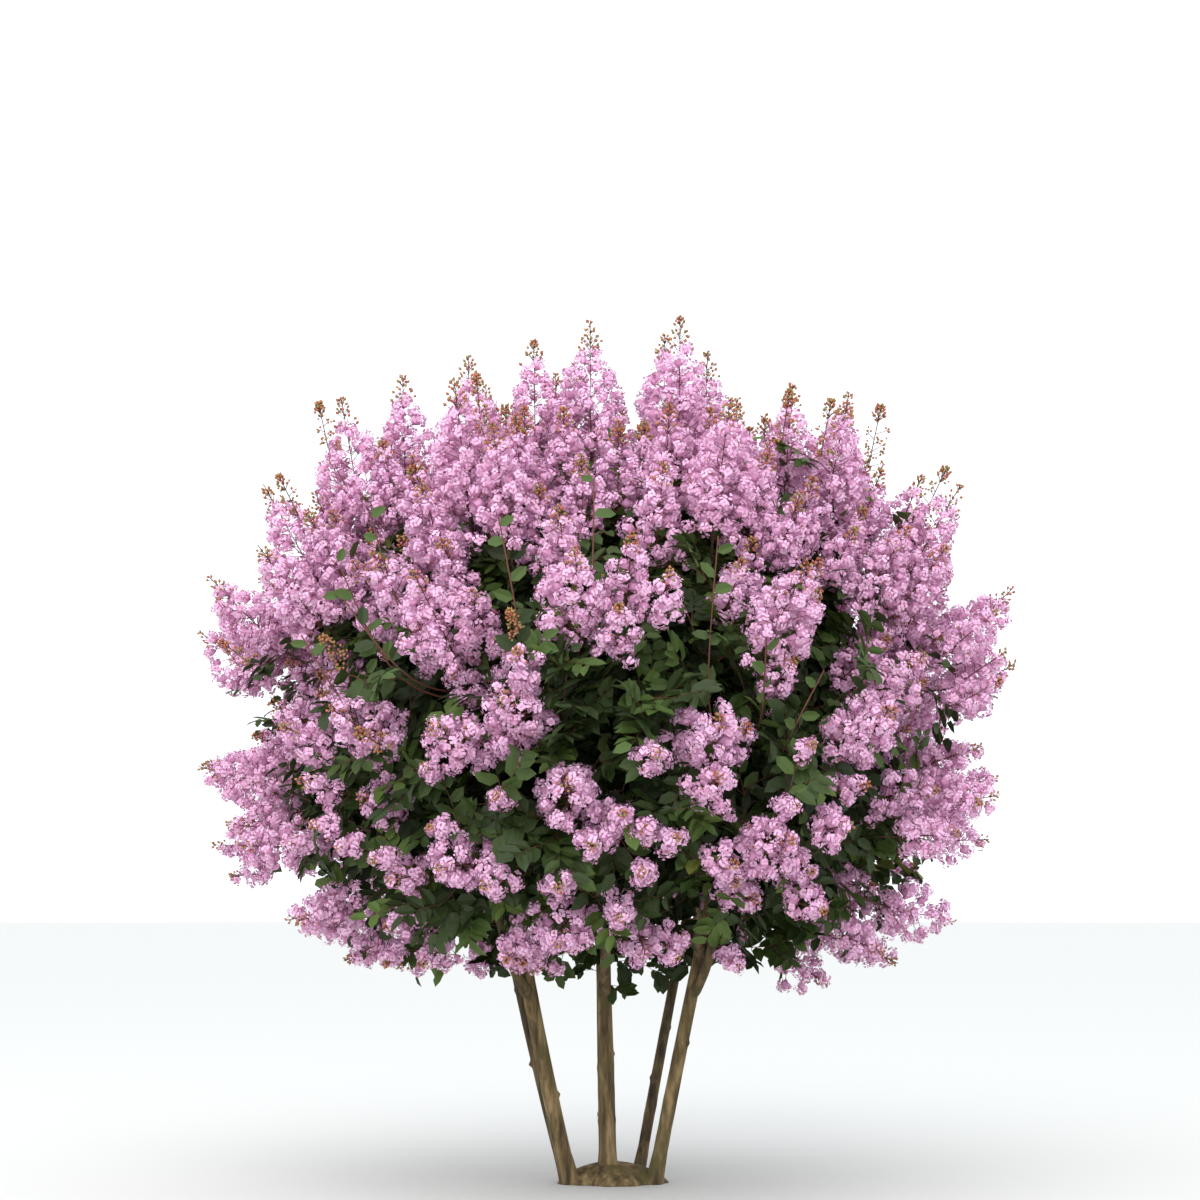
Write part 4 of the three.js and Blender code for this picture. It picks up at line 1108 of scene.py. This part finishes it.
def bloom_of(panicle, draw, made):
    """The flowers, buds and stalks of one panicle, added to those made so far."""
    base, along, length, high = (panicle[part] for part in ("base", "along", "length", "high"))
    middle, facing, size, stalk, share = clusters_of(panicle, draw)
    if panicle.get("bud"):
        middle = stalk + (middle - stalk) * 0.85
        smaller, spread = BUD_DOME["closed"]
        at, way, which = on_domes(middle, facing, size * smaller, np.full(len(size), 4), draw, spread)
        made["buds"].append(buds_at(at, way, "closed", draw))
        made["stalks"].append((middle[which], at, np.full(len(at), STALK["bud"])))
    counts = CLUSTER["flowers"] * (size / 0.042) ** 1.2 + draw.uniform(-1, 1, len(size))
    counts = np.maximum(3, np.round(counts)).astype(int)
    at, way, which = on_domes(middle, facing, size, counts, draw, CLUSTER["dome"])
    shade = draw.choice(4, p=[0.3, 0.3, 0.25, 0.15], size=len(size))
    # Painted light: the cone's top is a step paler and its foot a step deeper pink, as if lit from above.
    shade = np.where(draw.uniform(size=len(size)) < 0.5, draw.integers(0, 4), shade)
    shade = (shade + (share < 0.25) - (share > 0.55))[which]
    # Painted shade: each cluster's underside, and most panicles deep inside the crown, are a step deeper
    # pink.
    shade = shade + ((way * facing[which]).sum(1) < 0.35) + (draw.uniform() < 0.6) * ("deep" in panicle)
    if not panicle.get("bud"):
        flower = CLUSTER["flower"] * draw.uniform(0.84, 1.16, len(at))
        made["flowers"].append((at, way, shade.clip(0, 4), flower))
        made["cores"].append((middle, facing, np.full(len(size), CORE), size * CLUSTER["core"]))
    larger, spread = BUD_DOME["open"]
    at, way, _ = on_domes(middle, facing, size * larger, draw.integers(0, 2, len(size)), draw, spread)
    made["buds"].append(buds_at(at, way, "open", draw))
    # The tip carries buds alone, on a spike that is longest at the top of the crown.
    reach = length * (1.07 + 0.2 * high**2)
    count = int(12 + 18 * high**2)
    rise = np.sort(draw.uniform(0.76, 1, count)) * reach
    spin = np.arange(count) * GOLDEN + draw.uniform(0, 6)
    out = (0.008 + 0.34 * (reach - rise)).clip(0, 0.04) * draw.uniform(0.7, 1.3, count)
    radial = spoke(*frame_round(along), spin)
    tip = base + along * rise[:, None] + radial * out[:, None]
    made["buds"].append(buds_at(tip, unit(along + radial), "spike", draw, 1 + 0.2 * high))
    back = base + along * (rise - 0.6 * out - 0.008)[:, None]
    made["stalks"] += [
        (back, tip, np.full(count, STALK["spike"])), (stalk, middle, np.full(len(size), STALK["cluster"])),
        (base[None], (base + along * reach)[None], np.array([STALK["panicle"]])),
    ]


bloom_parts = {}
for mass in masses.values():
    draw = default_rng(mass["number"] + 300)
    made = {"flowers": [], "cores": [], "buds": [], "stalks": []}
    for shoot in mass["shoots"]:
        if shoot["panicle"]:
            bloom_of(shoot["panicle"], draw, made)
    bloom_parts[mass["name"]] = {kind: stacked(rows) for kind, rows in made.items()}

# ------------------------ leaves and side twigs
# The leaves are oval, smooth and firm, folded along the midrib, and stand in two ranks on thin side twigs.
# They are painted darker green inside the crown, as painted shade, and are lighter and yellower green at its
# top.

# The darkest green, leaf shade green, is painted shade: it is dealt mostly to leaves inside the crown.
leaf_greens = [finish("leaf shade green", tone(32, 44, 17), 0.6, Specular_IOR_Level=0.3)] + [
    finish("leaf " + name, tone(*colour), 0.6, Specular_IOR_Level=0.35) for name, colour in {
        "deep green": (40, 55, 20), "green": (52, 70, 26), "mid green": (65, 86, 34),
        "fresh green": (82, 104, 43), "yellow green": (108, 118, 50),
    }.items()
]
# How often a leaf is each of the greens: among the outer sprays, inside the crown, darker as painted shade,
# and at its top.
LEAF_SHARES = {
    "outer": [0.03, 0.17, 0.36, 0.3, 0.11, 0.03], "inner": [0.3, 0.32, 0.24, 0.12, 0.02, 0.0],
    "top": [0.0, 0.08, 0.25, 0.37, 0.22, 0.08],
}
LEAF = {"long": 0.083, "long_in_green": 0.090, "each": 7}


def leaf_of(droop, fold, wave):
    """A leaf: an elliptic blade of eight triangles, folded along its midrib and bent down towards its tip. It
    lies along +X and faces +Z."""
    rows = np.array([
        [0, 0, 0], [0.30, 0, 0], [0.68, 0, 0], [1, 0, 0],
        [0.25, 0.265, fold], [0.72, 0.24, fold + wave], [0.27, -0.26, fold], [0.71, -0.25, fold - wave],
    ], float)
    rows[:, 2] -= droop * rows[:, 0] ** 2
    return rows


LEAF_FACES = np.array([
    [0, 1, 4], [4, 1, 2], [4, 2, 5], [5, 2, 3], [0, 6, 1], [6, 2, 1], [6, 7, 2], [7, 3, 2],
])
LEAF_FORMS = [(0.06, 0.05, 0.02), (0.2, 0.07, -0.02), (0.32, 0.05, 0.03), (-0.05, 0.08, 0.0)]
leaf_shapes = np.stack([leaf_of(*form) for form in LEAF_FORMS])


def by_turns(face, along, count):
    """The way sideways from a twig, by turns on one side and the other, square to the way that it faces."""
    return np.cross(face, along) * np.where(np.arange(count) % 2, 1, -1)[:, None]


def dress(curves, first, last, count, draw, long, up):
    """Leaves along many twigs at once, in two ranks: each leaf leaves its twig at 55 degrees, by turns on one
    side and the other, in a plane that faces up and outwards. Returns bases, ways, faces and lengths."""
    slip = draw.uniform(-0.5, 0.5, (len(curves), count))
    shares = np.linspace(first, last, count) + slip * (last - first) / count
    at, along = bend(curves, shares), slope(curves, shares)
    up = np.broadcast_to(up, (len(curves), 3))[:, None]
    face = unit(up - along * (up * along).sum(-1, keepdims=True))
    side = by_turns(face, along, count)
    opening = draw.uniform(0.75, 1.15, (len(curves), count, 1))
    way = along * np.cos(opening) + side * np.sin(opening) + draw.normal(0, 0.14, at.shape)
    way = unit(way - [0, 0, 0.12])
    face = unit(face + draw.normal(0, 0.22, at.shape))
    size = long * draw.uniform(0.78, 1.12, at.shape[:2]) * (1 - 0.25 * np.linspace(0, 1, count) ** 2)
    return [part.reshape(len(curves) * count, *part.shape[2:]) for part in (at, way, face, size)]


def side_twigs(curve, shares, length, draw, up):
    """Side twigs of a shoot, by turns on one side and the other, in the plane that faces up and outwards."""
    at, along = bend(curve, shares), slope(curve, shares)
    side = by_turns(unit(up - along * (along @ up)[:, None]), along, len(shares))
    way = unit(along + side * draw.uniform(0.7, 1.2, (len(shares), 1)) + draw.normal(0, 0.2, along.shape))
    size = (length * draw.uniform(0.7, 1.25, len(shares)))[:, None]
    return np.stack([at, at + way * size * 0.5, at + unit(way + 0.4 * along) * size - [0, 0, 0.02]], axis=1)


def clear_of_panicles(at):
    """Whether points are neither inside a panicle nor just outside it, where they would hide it: the distance
    to each of its rings is taken from the point and from two places nearer to the tree's middle."""
    low, high = at.min(0) - 0.2, at.max(0) + 0.2
    near = ((taken["at"] > low) & (taken["at"] < high)).all(1)
    inwards = [at - unit(at - HUB) * far for far in (0.0, 0.07, 0.14)]
    clear = np.ones(len(at), bool)
    for centre, size in zip(taken["at"][near], taken["size"][near]):
        for place in inwards:
            clear &= lengths(place - centre) > 0.82 * size
    return clear


# ------------------------ blossom, buds, leaves and twigs of the crown
# The crown is made up region by region, each kind one piece: crinkled petals, hard round buds, leaves, and
# the thin shoots of red brown bark that carry them and grow out of the boughs.

# The masses of each region: their tiers, and their places in each.
REGIONS = {
    "crest": [("crest", "left right rear rear_left")],
    "upper": [("upper", "left left_outer right right_outer rear_right rear_left")],
    "front": [
        ("shoulder", "left_front front right_front"),
        ("side", "left_front front_left front_right right_front"),
    ],
    "left": [(tier, "left") for tier in ("shoulder", "side", "low", "hem")],
    "right": [(tier, "right") for tier in ("shoulder", "side", "low", "hem")],
    "rear": [(tier, "rear_right rear rear_left") for tier in ("shoulder", "side")],
    "hem": [("low", "left_front front right_front"), ("hem", "front"), ("low", "rear_right rear rear_left")],
}
YOUNG, OLDER = 0, 1  # young shoots are red brown, and older ones brown
shoot_bark = [finish("shoot red brown", tone(98, 56, 41), 0.7), finish("twig brown", tone(86, 66, 48), 0.75)]
SIDE_TWIG = {"radii": (0.0016, 0.0013, 0.0008), "length": 0.15, "apart": 0.05, "apart_in_bloom": 0.1}
LEAVES_APART = {"shoot": 0.026, "stalk": 0.06}
# Shares of the way out to the crown's outline: how far twigs and leaves may reach, and past which the leaves
# are painted lighter green as painted light, and the height in metres above which they are lighter still.
OUTSIDE = {"twigs": 0.985, "leaves": 1, "lit": 0.84, "top": 2}


def foliage_of(mass, draw, made):
    """The shoots, side twigs and leaves of one mass, added to those made so far: leaves along every shoot,
    and side twigs with leaves of their own."""
    up = unit(0.62 * np.array([0, 0, 1.0]) + 0.72 * mass["way"])
    blade = LEAF["long_in_green" if mass["leafy"] > 1 else "long"]
    curves, lits = [], []
    for shoot in mass["shoots"]:
        curve, stalk, bare = shoot["curve"], "stalk" in shoot, shoot["panicle"] is None
        thick = shoot["radius"] > 0.003
        steps, sides = (9, 4) if thick else (6, 3)
        line = bend(curve, np.linspace(0, 1, steps))[None]
        radii = np.linspace(shoot["radius"], 0.6 * shoot["radius"], steps)[None]
        made["twigs"].append((*tubes(line, radii, sides), OLDER if thick and not stalk else YOUNG))
        first, last = 0.3 if "fine" in shoot else 0.35, 0.98 if bare else 0.86
        leafed = line_length(curve) * (last - first)
        count = max(3, int(leafed / LEAVES_APART["stalk" if stalk else "shoot"]))
        leaves = dress(curve[None], first, last, count, draw, shoot.get("leaf", blade), up)
        # Painted shade: leaves of shoots marked deep, and by default of shoots without a panicle, get the
        # darker inner greens.
        lit = "inner" if shoot.get("deep", bare) else "outer"
        lit = LEAF_SHARES["top" if mass["tier"] in ("crest", "upper") else lit]
        made["leaves"].append((*leaves, np.full(count, draw.choice(6, p=lit))))
        count = int(leafed / SIDE_TWIG["apart" if bare else "apart_in_bloom"])
        if count and not stalk:
            length = shoot.get("side", SIDE_TWIG["length"])
            curves.append(side_twigs(curve, np.linspace(first, last - 0.04, count), length, draw, up))
            lits += [lit] * count
    for root, along, length in mass["spray_places"]:
        stop = root + along * length * 0.8 - [0, 0, 0.01]
        curves.append(np.array([[root, root + along * length * 0.5, stop]]))
        lits.append(LEAF_SHARES["outer"])
    curves, lits = np.concatenate(curves), np.array(lits)
    inside = far_out(curves[:, -1]) < OUTSIDE["twigs"]
    curves, lits = curves[inside], lits[inside]
    lines = bend(curves, np.linspace(0, 1, 3))
    made["twigs"].append((*tubes(lines, np.broadcast_to(SIDE_TWIG["radii"], lines.shape[:2]), 3), YOUNG))
    leaves = dress(curves, 0.2, 1.0, LEAF["each"], draw, blade, up)
    shade = (np.cumsum(lits, axis=1) < draw.uniform(size=(len(curves), 1))).sum(1).clip(0, 5)
    made["leaves"].append((*leaves, shade.repeat(LEAF["each"])))


for region, tiers in REGIONS.items():
    names = [f"{tier}_{place}" for tier, places in tiers for place in places.split()]
    made = {kind: [] for kind in ("flowers", "buds", "leaves", "twigs")}
    for name in names:
        parts = bloom_parts[name]
        made["flowers"].append(parts["flowers"])
        made["buds"] += [parts["buds"], parts["cores"]]
        back, tip, thick = parts["stalks"]
        radii = np.stack([thick, 0.7 * thick], axis=1)
        made["twigs"].append((*tubes(np.stack([back, tip], axis=1), radii, 3), YOUNG))
        foliage_of(masses[name], default_rng(masses[name]["number"] + 500), made)

    draw = default_rng(len(region) + 900)
    at, way, shade, size = stacked(made["flowers"])
    kinds = draw.integers(0, len(flower_shapes), len(at))
    spin = draw.uniform(0, 6.3, len(at))
    axes = axes_at(way, spin)
    corners = copies(flower_shapes[kinds], axes, size, at)
    lean = copies(flower_leans[kinds], axes, np.ones(len(at)), np.zeros_like(at))
    shades = np.repeat(PETAL_SHADES[shade[:, None], draw.integers(0, 4, (len(at), 6))], 2, axis=1).ravel()
    faces = faces_of(FLOWER_FACES, 24, len(at))
    blossom = mesh_object("blossom_" + region, corners, faces, petal_pinks, shades, lean=lean)

    at, way, shade, size = stacked(made["buds"])
    axes = axes_at(way, draw.uniform(0, 6.3, len(at)))
    corners = copies(np.broadcast_to(BUD, (len(at), 6, 3)), axes, size, at)
    faces = faces_of(BUD_FACES, 6, len(at))
    buds = mesh_object("buds_" + region, corners, faces, bud_finishes, np.repeat(shade, 8))

    at, way, face, size, shade = stacked(made["leaves"])
    far = far_out(at + way * size[:, None] * 0.7)
    clear = clear_of_panicles(at + way * size[:, None] * 0.5) & (far < OUTSIDE["leaves"])
    # Painted light: leaves near the outline get at least the deep green, and above the top's height at least
    # the mid green.
    least = np.where(at[:, 2] > OUTSIDE["top"], 3, 1)
    shade = np.where(far > OUTSIDE["lit"], np.maximum(shade, least), shade)
    at, way, face, size, shade = (part[clear] for part in (at, way, face, size, shade))
    side = unit(np.cross(face, way))
    shapes = leaf_shapes[draw.integers(0, len(leaf_shapes), len(at))]
    corners = copies(shapes, (way, side, np.cross(way, side)), size, at)
    faces = faces_of(LEAF_FACES, 8, len(at))
    shades = np.repeat(shade, 8)
    leaves = mesh_object("leaves_" + region, corners, faces, leaf_greens, shades, smooth=False)

    corners, faces = joined([part[:2] for part in made["twigs"]])
    shade = np.concatenate([np.full(len(part[1]), part[2]) for part in made["twigs"]])
    twigs = mesh_object("twigs_" + region, corners, faces, shoot_bark, shade)

    for piece in (blossom, buds, leaves, twigs):
        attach(piece, "root")
        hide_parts(*names)
